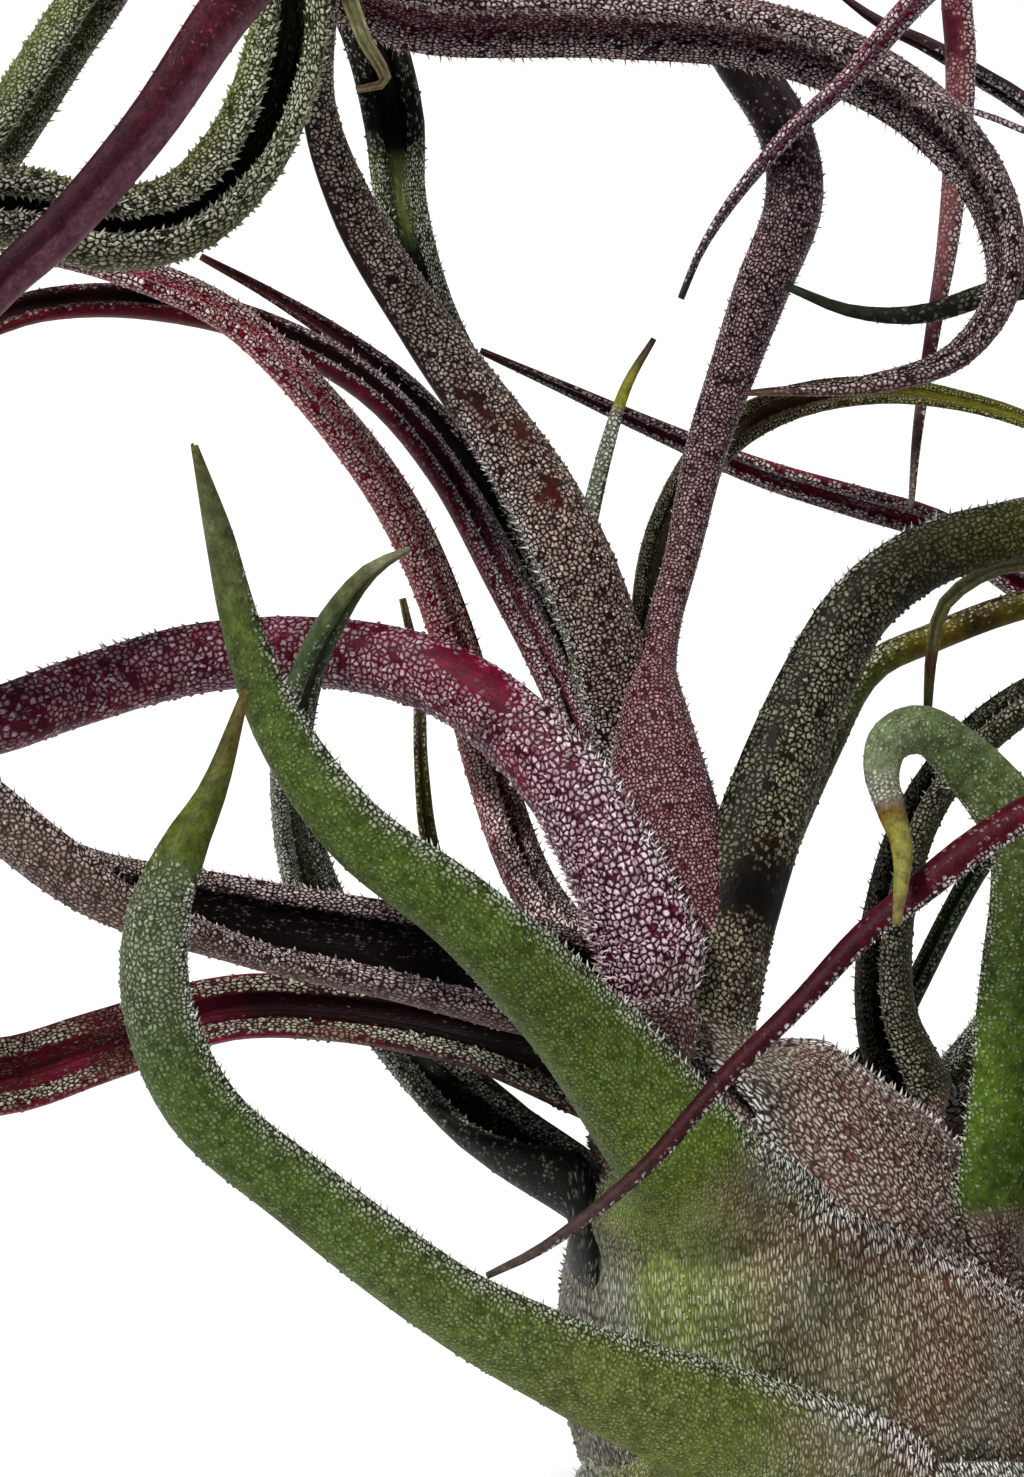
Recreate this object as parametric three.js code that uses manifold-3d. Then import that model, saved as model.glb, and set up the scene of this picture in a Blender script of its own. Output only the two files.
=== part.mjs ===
// An air plant, Tillandsia pruinosa, whole and unpotted, as it rests on a surface.
// Units are millimetres. +Z is up, -Y faces the viewer, and the bulb rests on the origin.
//
// The plant is a bulb of inflated leaf sheaths round a short heart, with a channelled blade
// growing out of each sheath. One node is one leaf, sheath and blade together, and one node is
// the heart. Where two leaves would touch, the outer one stays whole and the inner one is cut
// back by the gap, so each leaf is a closed solid of its own.
import * as THREE from "three";
import Module from "manifold-3d";

// The bulb.
// The bulb is cut flat where it rests. FLAT_SPOT is the middle of that cut, and becomes the origin.
const FLAT_SPOT = new THREE.Vector3(-1.9, -0.8, 0);
const BULB_FOOT = new THREE.Vector3(1.5, 0, 1);
const BULB_NECK = new THREE.Vector3(-16.2, -4.2, 48.9);
// [height along the bulb, radius], outside of the outermost sheath
const BULB_PROFILE = [
  [-4, 4],
  [-2, 8],
  [1, 11],
  [5, 14.2],
  [10, 16.8],
  [16, 18.2],
  [23, 18.2],
  [29, 16.8],
  [34, 15],
  [38, 13.2],
  [41, 11],
  [44, 9],
  [48, 7.2],
  [52, 6],
  [60, 5],
];
// [height along the bulb, how many layers have ended below it]
const LAYERS_ENDED = [
  [0, 0],
  [8, 0],
  [13, 1],
  [24, 1],
  [30, 2],
  [37, 2],
  [42, 3],
  [48, 4],
  [60, 4],
];
const LAYER_PITCH = 1.5;
const SHEATH_THICKNESS = 0.9;
// The height at which the sheaths of each layer start, on the heart.
const SHEATH_LOWS = [5, 7, 8, 17, 22, 29];
const HEART_DEPTH = 5.1;
const HEART_TOP = 44;

// The blades.
const WALL = 1.3;
const WALL_SHARE = 0.62;
const CURL = 104;
const TIP_WIDTH = 0.5;
const GAP = 0.3;
const GRID = 0.005;
const SHOULDER_BULGE = 0.1;
const RING_SPACING = 7;
const RING_TURN = 20;

// Most paths are read in the plane that faces a viewer who stands a little above the plant:
// right, up and near, in millimetres, where near points at the viewer. READ_CENTRE is the middle
// of that plane. A point nearer than the plane looks larger, which READ_DISTANCE allows for.
const READ_TILT = THREE.MathUtils.degToRad(15);
const READ_CENTRE = new THREE.Vector3(-26.9, 0, 64.1);
const READ_DISTANCE = 400;

// leaf: azimuth is where its sheath sits round the bulb, 0 towards the viewer and 90 to the left.
// layer 0 is the outermost sheath. ends is the height at which the sheath gives way to the blade.
// spread is half the angle that the sheath takes round the bulb. path holds [right, up, near,
// width], and floor paths hold [x, y, z, width]. twist turns the channel and curl rolls it up:
// both hold [share of the blade, degrees], and half the blade's arc is CURL where none is given.
const LEAVES = [
  {
    name: "foot_leaf_left_front", colour: 0x5a6b3a, azimuth: 62, layer: 0, ends: 13, spread: 44,
    floor: [
      [-18, -10, 11.5, 7.4], [-25, -15, 11, 6.2], [-32, -21, 6.5, 5.6], [-39, -28, 2.2, 5.2],
      [-46, -35, 1.4, 4.8], [-53, -41, 3, 4.2], [-60, -43, 8, 3.4], [-66, -41, 13, 2.2],
      [-70, -37, 17, 0.5],
    ],
  },
  {
    name: "foot_leaf_left_back", colour: 0x4f5f35, azimuth: 120, layer: 0, ends: 10, spread: 40,
    floor: [
      [-18, 7, 8.4, 7.2], [-25, 11, 6.4, 6], [-33, 15, 3.4, 5.6], [-41, 18, 1.8, 5.2],
      [-48, 19, 1.4, 4.8], [-56, 19, 2.4, 4.2], [-64, 17, 6, 3.4], [-70, 15, 12, 2.2],
      [-73, 16, 19, 0.5],
    ],
  },
  {
    name: "foot_leaf_right_front", colour: 0x5a5a38, azimuth: -74, layer: 0, ends: 8.6, spread: 34,
    floor: [
      [18, -8, 18, 7], [25, -15, 18.5, 6], [31, -24, 11, 5.4], [36, -31, 3.4, 5],
      [40, -38, 1.4, 4.6], [44, -45, 3.4, 3.8], [50, -50, 9, 2.6], [56, -52, 16, 0.5],
    ],
  },
  {
    name: "foot_leaf_right_back", colour: 0x4c5a36, azimuth: -132, layer: 0, ends: 10, spread: 42,
    floor: [
      [15, 13, 18, 7], [22, 18, 18.5, 6], [31, 22, 11, 5.4], [38, 24, 3.6, 5], [46, 25, 1.4, 4.6],
      [55, 27, 3, 3.8], [61, 31, 8, 2.6], [64, 36, 15, 0.5],
    ],
  },
  {
    name: "foot_leaf_back", colour: 0x4a5634, azimuth: 176, layer: 1, ends: 14, spread: 46,
    floor: [
      [-5, 19, 19, 7.2], [-3, 27, 18, 6], [0, 36, 11, 5.6], [2, 44, 3.4, 5], [5, 52, 1.4, 4.6],
      [9, 60, 3, 3.8], [15, 65, 8, 2.6], [22, 67, 14, 0.5],
    ],
  },
  {
    name: "leaf_behind_right", colour: 0x4d5a2c, azimuth: -165, layer: 2, ends: 28, spread: 62,
    floor: [
      [-2, 16, 31, 6.4], [5, 26, 36, 5.4], [12, 38, 43, 5], [16.5, 50, 54, 4.6],
      [18.5, 60, 67, 4], [18, 63, 79, 3], [16, 60, 89, 1.8], [13, 54, 95, 0.5],
    ],
  },
  {
    name: "leaf_before_right", colour: 0x55662c, azimuth: -44, layer: 0, ends: 12, spread: 26,
    floor: [
      [14, -17, 20, 6.4], [20, -27, 28, 5.4], [25, -37, 42, 5], [30, -46, 63, 4.4],
      [33, -50, 78, 3.6], [31, -48, 90, 2.4], [26, -42, 97, 0.5],
    ],
  },
  {
    name: "leaf_low_green", colour: 0x587a2e, azimuth: 30, layer: 1, ends: 25, spread: 82,
    path: [
      [11.3, -41.5, 9.5, 9], [2.9, -37.9, 15.5, 6.6], [-4.3, -34, 20, 5.3], [-12.7, -27.7, 24, 4.9],
      [-19, -22.3, 27, 4.7], [-21.6, -16.3, 29, 4.3], [-21.6, -10.9, 30, 3.8],
      [-19.9, -6.4, 30, 2.8], [-18.1, -3.1, 29, 1.7], [-16, 2.9, 28, 0.5],
    ],
  },
  {
    name: "leaf_front_hanging", colour: 0x7a2436, azimuth: -80, layer: 1, ends: 13, spread: 30,
    path: [
      [44, -40, -2, 6.4], [52, -32, 4, 5], [58, -16, 12, 4.6], [58, -2, 20, 4.2],
      [54, 14, 26, 3.8], [49, 30, 26, 3.4], [43, 42, 20, 3], [36, 48.5, 13, 2.6],
      [29.8, 48.3, 9, 2.2], [25.4, 45.5, 8, 1.9], [23.3, 43.4, 8, 1.8], [20.3, 39.8, 8, 1.5],
      [16.7, 36.5, 8, 1.3], [13.4, 32.6, 8, 0.9], [11.3, 29.3, 8, 0.6], [10.1, 26.4, 8, 0.5],
    ],
  },
  {
    name: "leaf_front_diagonal", colour: 0x6d1f33, azimuth: -54, layer: 1, ends: 20, spread: 34,
    path: [
      [40, -38, 8, 6.4], [48, -35, 10, 5.5], [54, -27, 11, 5.2], [54.5, -16, 12, 4.8],
      [49, -8, 13, 4.2], [42, -3.5, 14, 3.6], [36, -2.3, 14.5, 3], [30.7, -4.4, 15, 2.4],
      [27.2, -6.7, 15.5, 2.5], [24.2, -9.1, 16, 2.3], [20.9, -11.8, 16.5, 1.8],
      [17.3, -15.7, 17.5, 1.6], [12.5, -20.5, 18.7, 1.4], [7.7, -25.9, 20, 1.2],
      [2, -30.4, 20.5, 0.8], [-1.5, -32.2, 19.5, 0.5],
    ],
  },
  {
    name: "leaf_dark_band", colour: 0x35131c, azimuth: -94, layer: 2, ends: 19, spread: 30,
    path: [
      [38, -33, -7, 6.4], [46, -24, -8, 5], [51, -10, -8, 4.2], [50.5, 8, -11, 3.6],
      [45.5, 22, -15, 3], [38.5, 31.5, -18, 2.4], [30.7, 38.2, -19, 1.8], [28.1, 39.8, -19, 1.7],
      [25.1, 41.6, -19, 1.4], [22.1, 43, -19, 1], [19.5, 44.8, -19, 0.5],
    ],
  },
  {
    name: "leaf_upper_green", colour: 0x55752a, azimuth: 32, layer: 2, ends: 40, spread: 96,
    path: [
      [9.3, -25, 9.5, 8.6], [3.5, -17.5, 15, 6.4], [-3.1, -10.9, 20, 5.2], [-9.7, -5.8, 21, 4.5],
      [-14.2, 0.5, 20, 3.7], [-16.4, 6.5, 21, 2.7], [-17.8, 12.5, 23, 1.9],
      [-19.1, 17.6, 26, 0.5],
    ],
  },
  {
    name: "leaf_pink_thread", colour: 0x7c4a52, azimuth: -78, layer: 2, ends: 26, spread: 28,
    path: [
      [38, -28, 0, 6], [43, -18, 2, 4.6], [44.8, -4, 3, 3.8], [44.5, 10, 3, 3],
      [43.5, 22, 4, 2.2], [40.5, 31, 5, 1.5], [36, 34.3, 6, 1], [30.7, 36.5, 6, 0.65],
      [27.8, 37.6, 6, 0.6], [23.9, 38.1, 6, 0.5],
    ],
  },
  {
    name: "leaf_green_hook", colour: 0x4f7a2c, azimuth: -76, layer: 3, ends: 31, spread: 42,
    path: [
      [29.3, -27.1, 0, 7.2], [29.6, -20.5, 1, 5.8], [30.2, -13.3, 3, 5.5], [30.8, -7.9, 6, 5.4],
      [30.5, -4.9, 8, 5], [29.3, -3.2, 9, 4.7], [27.2, -1, 10, 4.1], [24.8, 0.7, 11.5, 3.2],
      [22.9, 0.1, 13, 2.6], [22.3, -1.9, 14.5, 2.2], [22.9, -4.4, 16, 1.8],
      [23.5, -6.7, 18, 1.3], [23.1, -11.2, 20, 0.5],
    ],
  },
  {
    name: "leaf_hanging", colour: 0x5b2430, azimuth: -142, layer: 1, ends: 23, spread: 40,
    path: [
      [27, -27, -18, 6.6], [36, -23, -26, 5.2], [45, -13, -34, 5], [51, 1, -40, 4.6],
      [52, 18, -40, 4.2], [48, 36, -34, 3.8], [40, 50, -25, 3.4], [32, 53.5, -18, 3],
      [27.8, 49.5, -15.5, 2.7], [26.6, 45.5, -15, 2.6], [26.8, 40.7, -15, 2.6], [26.6, 35.3, -15, 2.3],
      [26, 29.3, -15, 1.8], [25.2, 24.5, -15, 1.3], [24.3, 18.5, -15.5, 0.9], [23.9, 13.7, -16, 0.5],
    ],
  },
  {
    name: "leaf_back_maroon", colour: 0x4a1424, azimuth: -128, layer: 3, ends: 29, spread: 54,
    path: [
      [30, -22, -15, 6], [36.5, -16.3, -17.5, 3.8], [40.7, -8.5, -19, 3.2], [40.1, -0.1, -20, 3],
      [35.9, 5.9, -20, 2.8], [30.7, 9.5, -20, 2.6], [25.7, 12.8, -20, 2.4], [20.9, 14.3, -20, 2.3],
      [14.9, 16.1, -20, 2], [8.3, 18.8, -20, 1.4], [2.9, 21.2, -20, 0.9], [-1.9, 23.3, -20, 0.5],
    ],
  },
  {
    name: "leaf_channelled", colour: 0x39331f, azimuth: -118, layer: 4, ends: 36, spread: 60,
    path: [
      [24.4, -21, -8, 6.4], [22.7, -16.3, -8, 4.8], [23, -9.7, -8.5, 4], [25.1, -3.7, -9, 3.7],
      [29.3, 1, -9, 3.6], [34.1, 3.5, -9, 3.2], [38.9, 2.9, -9, 2.5], [42.5, -1.3, -9, 1.5],
      [43.9, -7, -9, 0.5],
    ],
  },
  {
    name: "leaf_long_crossing", colour: 0x5c3a38, azimuth: 66, layer: 3, ends: 44, spread: 62,
    twist: [[0, 0], [0.05, -50], [0.13, -50], [0.2, 0]],
    path: [
      [7.5, -17.4, 3.5, 10], [1.2, -15, 6.5, 7.8], [-6.7, -13.3, 9, 6.2], [-15.7, -11.5, 10, 5.6],
      [-24.7, -9.1, 14, 5.5], [-30.7, -4.9, 16, 5.4], [-37.9, 2.3, 17, 5.2], [-41.5, 13.1, 12, 5],
      [-40.3, 23.3, 8, 5], [-35.5, 29.9, 5, 4.9], [-30.7, 36.5, 2, 4.8], [-25.6, 44.3, -2, 4.8],
      [-22.6, 47.9, -3.5, 4.8], [-18.7, 47.6, -4, 4.9], [-10.9, 45.8, -4, 5.1],
      [-5.5, 43.8, -3, 5.3], [5.3, 43.4, -2, 5.1], [14.9, 42.5, -1, 4.9], [21.5, 40.1, 0, 4.7],
      [26.3, 36.5, 0, 4.3], [29.3, 31.7, 0, 3.5], [29.6, 26.9, 1, 2.7], [26.9, 23, 1, 2.3],
      [22.1, 21.3, 2, 1.8], [14, 20.7, 2, 0.5],
    ],
  },
  {
    name: "leaf_inner_green", colour: 0x2f4a20, azimuth: 88, layer: 2, ends: 38, spread: 50,
    twist: [[0, 0], [0.15, -50]],
    path: [
      [4.4, -27.2, -2, 6.4], [-0.7, -24.1, -6, 5], [-6.7, -18.1, -10, 4.2], [-11.5, -10.9, -10, 3.8],
      [-13.4, -3.7, -4, 3], [-12.9, 2.3, 3, 2.7], [-10.9, 7.1, 8, 2.3], [-8.5, 10.1, 10, 1.5],
      [-6.1, 11.4, 10, 0.5],
    ],
  },
  {
    name: "leaf_left_loop", colour: 0x5a2230, azimuth: 138, layer: 4, ends: 41, spread: 78,
    twist: [[0, 0], [0.33, -26], [0.6, -66], [1, -66]], curl: [[0, 104], [0.45, 104], [0.6, 146], [0.84, 146], [1, 104]],
    path: [
      [5.3, -20.5, -2, 6.4], [-1.9, -18.1, -3, 4.4], [-9.7, -16.6, -4, 4], [-16.9, -16.4, -4, 4],
      [-24.7, -18.7, -3, 4.4], [-30.7, -20.5, -2, 4.7], [-42, -20, 5, 4.8], [-52, -9.7, 15, 4.8],
      [-56, 6, 24, 4.9], [-52, 20, 25, 4.9], [-41.5, 29.5, 18.5, 4.8],
      [-30.7, 32, 12, 4.7], [-24.7, 30.6, 9, 5], [-19.9, 31.4, 7, 5], [-16, 35.3, 5, 5],
      [-13.9, 40.7, 4, 4.8], [-13.4, 45.5, 4, 4.2], [-15.7, 56.3, 3, 2.8], [-19.9, 61.1, 2, 0.5],
    ],
  },
  {
    name: "leaf_dark_arch", colour: 0x23270f, azimuth: -44, layer: 3, ends: 46, spread: 52,
    path: [
      [12, -16.5, 3, 7.4], [13.4, -11.5, 2, 6.3], [16.1, -3.1, 0, 5.7], [18.5, 2.9, -2, 5.1],
      [21.2, 7.7, -3, 4.5], [25.1, 10.7, -4, 4.2], [30.7, 12.4, -5, 3.8], [37, 14, -5, 3.5],
      [41, 18.5, -4, 2.8], [39.2, 24.6, -3.5, 2.2], [34, 27.3, -3, 1.8], [29.3, 26.9, -2.8, 1.5],
      [24.5, 25.5, -2.5, 1.2], [20.3, 25.7, -2.5, 0.8], [16.4, 27.2, -2.5, 0.5],
    ],
  },
  {
    name: "leaf_maroon_arch", colour: 0x5c1a28, azimuth: 50, layer: 4, ends: 50, spread: 66,
    path: [
      [7.9, -13.5, 4.5, 7.6], [5.9, -8.5, 4, 6.8], [2.3, -2.4, 2, 5.8], [-3.7, 2.9, -2, 5],
      [-10.9, 4.8, -5, 4.5], [-18.7, 4.5, -5, 4.5], [-25.9, 2.5, -3, 4.4], [-30.7, 0.8, 0, 4.3],
      [-36.5, -0.6, -2, 3.9], [-43, -3.5, -9, 3.4], [-47, -8, -18, 2.6], [-47.5, -14, -27, 1.6],
      [-45, -19, -34, 0.5],
    ],
  },
  {
    name: "leaf_tall_loop", colour: 0x4a2030, azimuth: -12, layer: 5, ends: 50, spread: 50,
    path: [
      [11.4, -12.5, 2, 8], [10.1, -8.6, 2, 7.4], [9, -3, 1, 6.4], [8.6, 1.5, -0.5, 4.4],
      [8.6, 4.4, -2.5, 2.6], [9.2, 7.5, -5, 2.1], [10.1, 10.7, -7, 2.1],
      [11.6, 17.3, -9, 2.6], [13.4, 22.7, -9, 3], [14.9, 26.9, -8, 3.4], [16.9, 32.3, -8, 3.6],
      [16.4, 36.5, -9, 3.4], [13.4, 41.3, -10, 3.2], [10.7, 46.1, -10, 3.2], [5.3, 51.5, -6, 3.5],
      [-1.9, 53.9, 0, 3.8], [-9.7, 50.9, 8, 4], [-16.3, 44.3, 14, 4], [-21.7, 36.5, 16, 3.6],
      [-27.1, 30.2, 17, 3.3], [-30.7, 26.9, 18, 3], [-37, 19, 22, 2.4], [-42, 10, 28, 1.5],
      [-44.5, 1, 33, 0.5],
    ],
  },
];

// Leaves that rise out of the open neck. Their bases are packed on top of the heart.
const INNER_LEAVES = [
  {
    name: "leaf_brown_thick", colour: 0x3a2420, azimuth: -46,
    path: [
      [9.4, -10, -6, 4.8], [7.9, -2.5, -4.4, 4.9], [6.4, 4.4, -3, 5], [5.2, 8.2, -2.2, 5.1],
      [3.6, 11.9, -1.6, 5.2], [1.7, 15.4, -2, 4.9], [-0.4, 18.5, -2, 4.5], [-5.2, 25.1, -2, 3.7], [-9.1, 31.4, -1, 3.3], [-11.4, 37.7, 1, 2.5],
      [-11.2, 43.1, 3, 2], [-10.4, 46.2, 5.5, 1.5], [-9.9, 44.9, 8.5, 1.1], [-8.8, 41.9, 11, 0.9],
      [-7.6, 39.4, 12, 0.7], [-9.3, 38.9, 12.5, 0.5],
    ],
  },
  {
    name: "leaf_red_left", colour: 0x6d2327, azimuth: 95,
    path: [
      [9, -17, -3, 4.6], [5.3, -14, -3, 4.5], [1.1, -9.1, -5.5, 3.9], [-1.6, -1.9, -9, 3.7],
      [-3.7, 5.9, -9, 3.5], [-6.7, 13.1, -8, 3.4], [-10.9, 19.1, -6, 3.1], [-16.9, 25.1, -4, 2.7],
      [-23.5, 28.1, -2, 2.5], [-30.7, 29.9, -4, 2.2], [-35.5, 31.4, -8, 1.5], [-39.7, 33.5, -12, 0.5],
    ],
  },
  {
    name: "leaf_maroon_left", colour: 0x551826, azimuth: 120,
    path: [
      [8.4, -12, -4, 3.2], [5.3, -4.9, -6, 3], [2.9, 2.3, -8, 2.8], [-0.7, 9.5, -10, 2.8],
      [-4.3, 16.1, -12, 2.8], [-8.5, 20.9, -12, 2.8], [-15.1, 24.5, -11, 2.7],
      [-21.7, 26, -9, 2.7], [-27.1, 26, -7, 2.5], [-30.7, 25.1, -5, 2.3], [-36.1, 22.1, -5, 1.5],
      [-40.9, 16.7, -6, 0.5],
    ],
  },
  {
    name: "leaf_dark_left", colour: 0x3d0f18, azimuth: 150,
    path: [
      [9.6, -11, -6, 3.2], [6.2, -1.9, -10, 3], [4.1, 3.5, -12.5, 3], [1.1, 10.1, -14, 3],
      [-2.5, 16.1, -16, 2.7], [-6.7, 20.9, -16, 2.3], [-10.3, 23.9, -15.5, 1.5],
      [-14.5, 26.6, -14.5, 0.9], [-18.7, 28.9, -14, 0.5],
    ],
  },
  {
    name: "leaf_young_spike", colour: 0x64793a, azimuth: 60,
    path: [
      [9.4, -9, -4.6, 2], [4.6, 2.7, -5.2, 1.8], [3.4, 8, -5.6, 1.8], [4.4, 12.5, -6, 1.6],
      [5.6, 17.4, -6, 1.3], [6.9, 21.3, -6, 0.9], [8.5, 24, -6, 0.5],
    ],
  },
  {
    name: "leaf_dark_behind", colour: 0x2b3018, azimuth: 175,
    path: [
      [11, -10, -7, 3.2], [8.6, -2, -8.6, 3], [5.6, 4, -10.4, 3], [2.6, 10, -11, 3],
      [-0.7, 17.3, -11, 3], [-4.9, 25.7, -11.5, 3], [-6.7, 32.3, -12, 3.2], [-7.1, 37.1, -12, 3.8],
      [-8.5, 42.5, -13, 3.8], [-10.3, 46.1, -14, 3.4], [-10.9, 52.1, -18, 2], [-6.7, 59.3, -22, 0.5],
    ],
  },
  {
    name: "leaf_olive_arch", colour: 0x55562a, azimuth: -160,
    path: [
      [12, -8, -9.5, 3.2], [8.8, 2.3, -12.4, 3], [8.5, 8.3, -12.6, 2.6], [9.6, 13.1, -13, 2.6],
      [12.5, 17.6, -13, 2.8], [16.7, 20, -13, 2.4], [22.1, 20.8, -13, 1.9], [26.9, 20.2, -12, 1.4],
      [30.7, 19.1, -12, 1.2], [33.8, 17.6, -11.5, 1.2], [35.6, 14.3, -11, 1.1],
      [32.9, 11, -10, 1], [28.7, 10.1, -9, 1], [25.9, 8, -8.8, 0.9], [25.2, 5.3, -9, 0.8],
      [24.9, 1.1, -10, 0.5],
    ],
  },
  {
    name: "leaf_olive_right", colour: 0x4d5226, azimuth: -110,
    path: [
      [9.6, -19.5, -3, 4.2], [12.6, -14, -6, 4], [15.4, -8, -10, 3.6], [18.5, -1.3, -13, 3.1], [21.5, 4.1, -14, 2.9],
      [25.7, 6.2, -15, 2.9], [30.7, 8, -15, 2.9], [36.5, 8.9, -14, 2.2], [41.3, 7.1, -12, 1.4],
      [44.9, 2.9, -10, 0.5],
    ],
  },
  {
    name: "leaf_thin_green", colour: 0x34431f, azimuth: -125,
    path: [
      [19, -21, -11, 2], [22.6, -18, -13, 1.9], [24.2, -15.1, -13.5, 1.8], [26.3, -10.9, -13.5, 1.8],
      [28.4, -7.3, -13.5, 1.8], [32.3, -3.1, -14, 1.6], [35.9, -1.3, -14, 1.1], [38.9, -3.1, -14, 0.5],
    ],
  },
  {
    name: "leaf_small_yellow", colour: 0x4d4a22, azimuth: 140,
    path: [
      [9.8, -22.6, -5, 2.6], [1.5, -17, -13, 1.9], [-3, -12, -15, 1.6], [-4.9, -6.8, -15, 1.3],
      [-5.5, -1.6, -14.6, 1], [-5.7, 4, -14, 0.8], [-6.6, 8.4, -13.6, 0.5],
    ],
  },
];

const wasm = await Module();
wasm.setup();

const AXIS = BULB_NECK.clone().sub(BULB_FOOT).normalize();
const TO_VIEWER = new THREE.Vector3(0, -1, 0)
  .addScaledVector(AXIS, AXIS.y)
  .normalize();
const TO_LEFT = TO_VIEWER.clone().cross(AXIS).normalize();

function fromTable(table, at) {
  if (at <= table[0][0]) return table[0][1];
  for (let i = 1; i < table.length; i++) {
    const [a, va] = table[i - 1];
    const [b, vb] = table[i];
    if (at <= b) return va + ((vb - va) * (at - a)) / (b - a);
  }
  return table[table.length - 1][1];
}

function axisPoint(height) {
  return BULB_FOOT.clone().addScaledVector(AXIS, height);
}

function outwards(azimuth) {
  const a = THREE.MathUtils.degToRad(azimuth);
  return TO_VIEWER.clone().multiplyScalar(Math.cos(a)).addScaledVector(TO_LEFT, Math.sin(a));
}

// The outside radius of a sheath in this layer. It slips under the layers that end above it.
function layerRadius(layer, height) {
  const under = Math.max(0, layer - fromTable(LAYERS_ENDED, height));
  return fromTable(BULB_PROFILE, height) - LAYER_PITCH * under;
}

function readPoint([right, up, near]) {
  const k = (READ_DISTANCE - near) / READ_DISTANCE;
  const sin = Math.sin(READ_TILT);
  const cos = Math.cos(READ_TILT);
  return new THREE.Vector3(
    READ_CENTRE.x + right * k,
    READ_CENTRE.y + up * k * sin - near * cos,
    READ_CENTRE.z + up * k * cos + near * sin,
  );
}

// One cross-section is an arc: a thick C round centre, open on the side away from out.
function arcRing(ring, count, innerCount, grow) {
  const side = ring.along.clone().cross(ring.out);
  const half = ring.half + grow / Math.max(ring.radius, 0.6);
  const outer = ring.radius + grow;
  const inner = Math.max(ring.radius - ring.wall - grow, 0.12 * ring.radius);
  const points = [];
  const at = (radius, angle, share) => {
    const p = ring.centre
      .clone()
      .addScaledVector(ring.out, radius * Math.cos(angle))
      .addScaledVector(side, radius * Math.sin(angle));
    points.push({ p, share });
  };
  for (let i = 0; i < count; i++) {
    const f = i / (count - 1);
    at(outer, half * (2 * f - 1), f);
  }
  for (let i = 0; i < innerCount; i++) {
    const f = i / (innerCount - 1);
    at(inner, half * (1 - 2 * f), 2 + f);
  }
  return { points, count };
}

// The ring half-way up the shoulder, where each line of the sheath bends over into the blade.
function shoulderRing({ from, to, count, inner }, grow) {
  const low = arcRing(from, count, inner, grow);
  const high = arcRing(to, count, inner, grow);
  const points = low.points.map(({ p, share }, i) => {
    const q = high.points[i].p;
    const reach = p.distanceTo(q) * SHOULDER_BULGE;
    const bend = from.along.clone().sub(to.along).multiplyScalar(reach);
    return { p: p.clone().add(q).multiplyScalar(0.5).add(bend), share };
  });
  return { points, count };
}

// Joins two rings with a band of triangles, by how far round each point is.
function joinRings(a, b, triangles) {
  const [na, nb] = [a.points.length, b.points.length];
  let i = 0;
  let j = 0;
  while (i < na || j < nb) {
    const nextA = i < na ? (i + 1 < na ? a.points[i + 1].share : 4) : Infinity;
    const nextB = j < nb ? (j + 1 < nb ? b.points[j + 1].share : 4) : Infinity;
    const [pa, pb] = [a.points[i % na].p, b.points[j % nb].p];
    if (nextA <= nextB) {
      triangles.push([pa, a.points[(i + 1) % na].p, pb]);
      i++;
    } else {
      triangles.push([pa, b.points[(j + 1) % nb].p, pb]);
      j++;
    }
  }
}

// Closes a ring by joining its outer arc to its inner one.
function closeRing(ring, flip, triangles) {
  const outer = ring.points.slice(0, ring.count);
  const inner = ring.points.slice(ring.count).reverse();
  let i = 0;
  let j = 0;
  const add = (a, b, c) => triangles.push(flip ? [a, c, b] : [a, b, c]);
  while (i < outer.length - 1 || j < inner.length - 1) {
    const nextO = i < outer.length - 1 ? outer[i + 1].share : Infinity;
    const nextI = j < inner.length - 1 ? 3 - inner[j + 1].share : Infinity;
    if (nextO <= nextI) {
      add(outer[i].p, inner[j].p, outer[i + 1].p);
      i++;
    } else {
      add(outer[i].p, inner[j].p, inner[j + 1].p);
      j++;
    }
  }
}

function toManifold(triangles) {
  const index = new Map();
  const vertices = [];
  const faces = [];
  for (const t of triangles) {
    const ids = t.map((p) => {
      if (!index.has(p)) {
        index.set(p, vertices.length / 3);
        vertices.push(p.x, p.y, p.z);
      }
      return index.get(p);
    });
    faces.push(...ids);
  }
  const mesh = new wasm.Mesh({
    numProp: 3,
    vertProperties: new Float32Array(vertices),
    triVerts: new Uint32Array(faces),
  });
  const made = new wasm.Manifold(mesh);
  if (made.volume() > 0) return made;
  for (let i = 0; i < faces.length; i += 3) [faces[i], faces[i + 1]] = [faces[i + 1], faces[i]];
  return new wasm.Manifold(
    new wasm.Mesh({
      numProp: 3,
      vertProperties: new Float32Array(vertices),
      triVerts: new Uint32Array(faces),
    }),
  );
}

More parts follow.
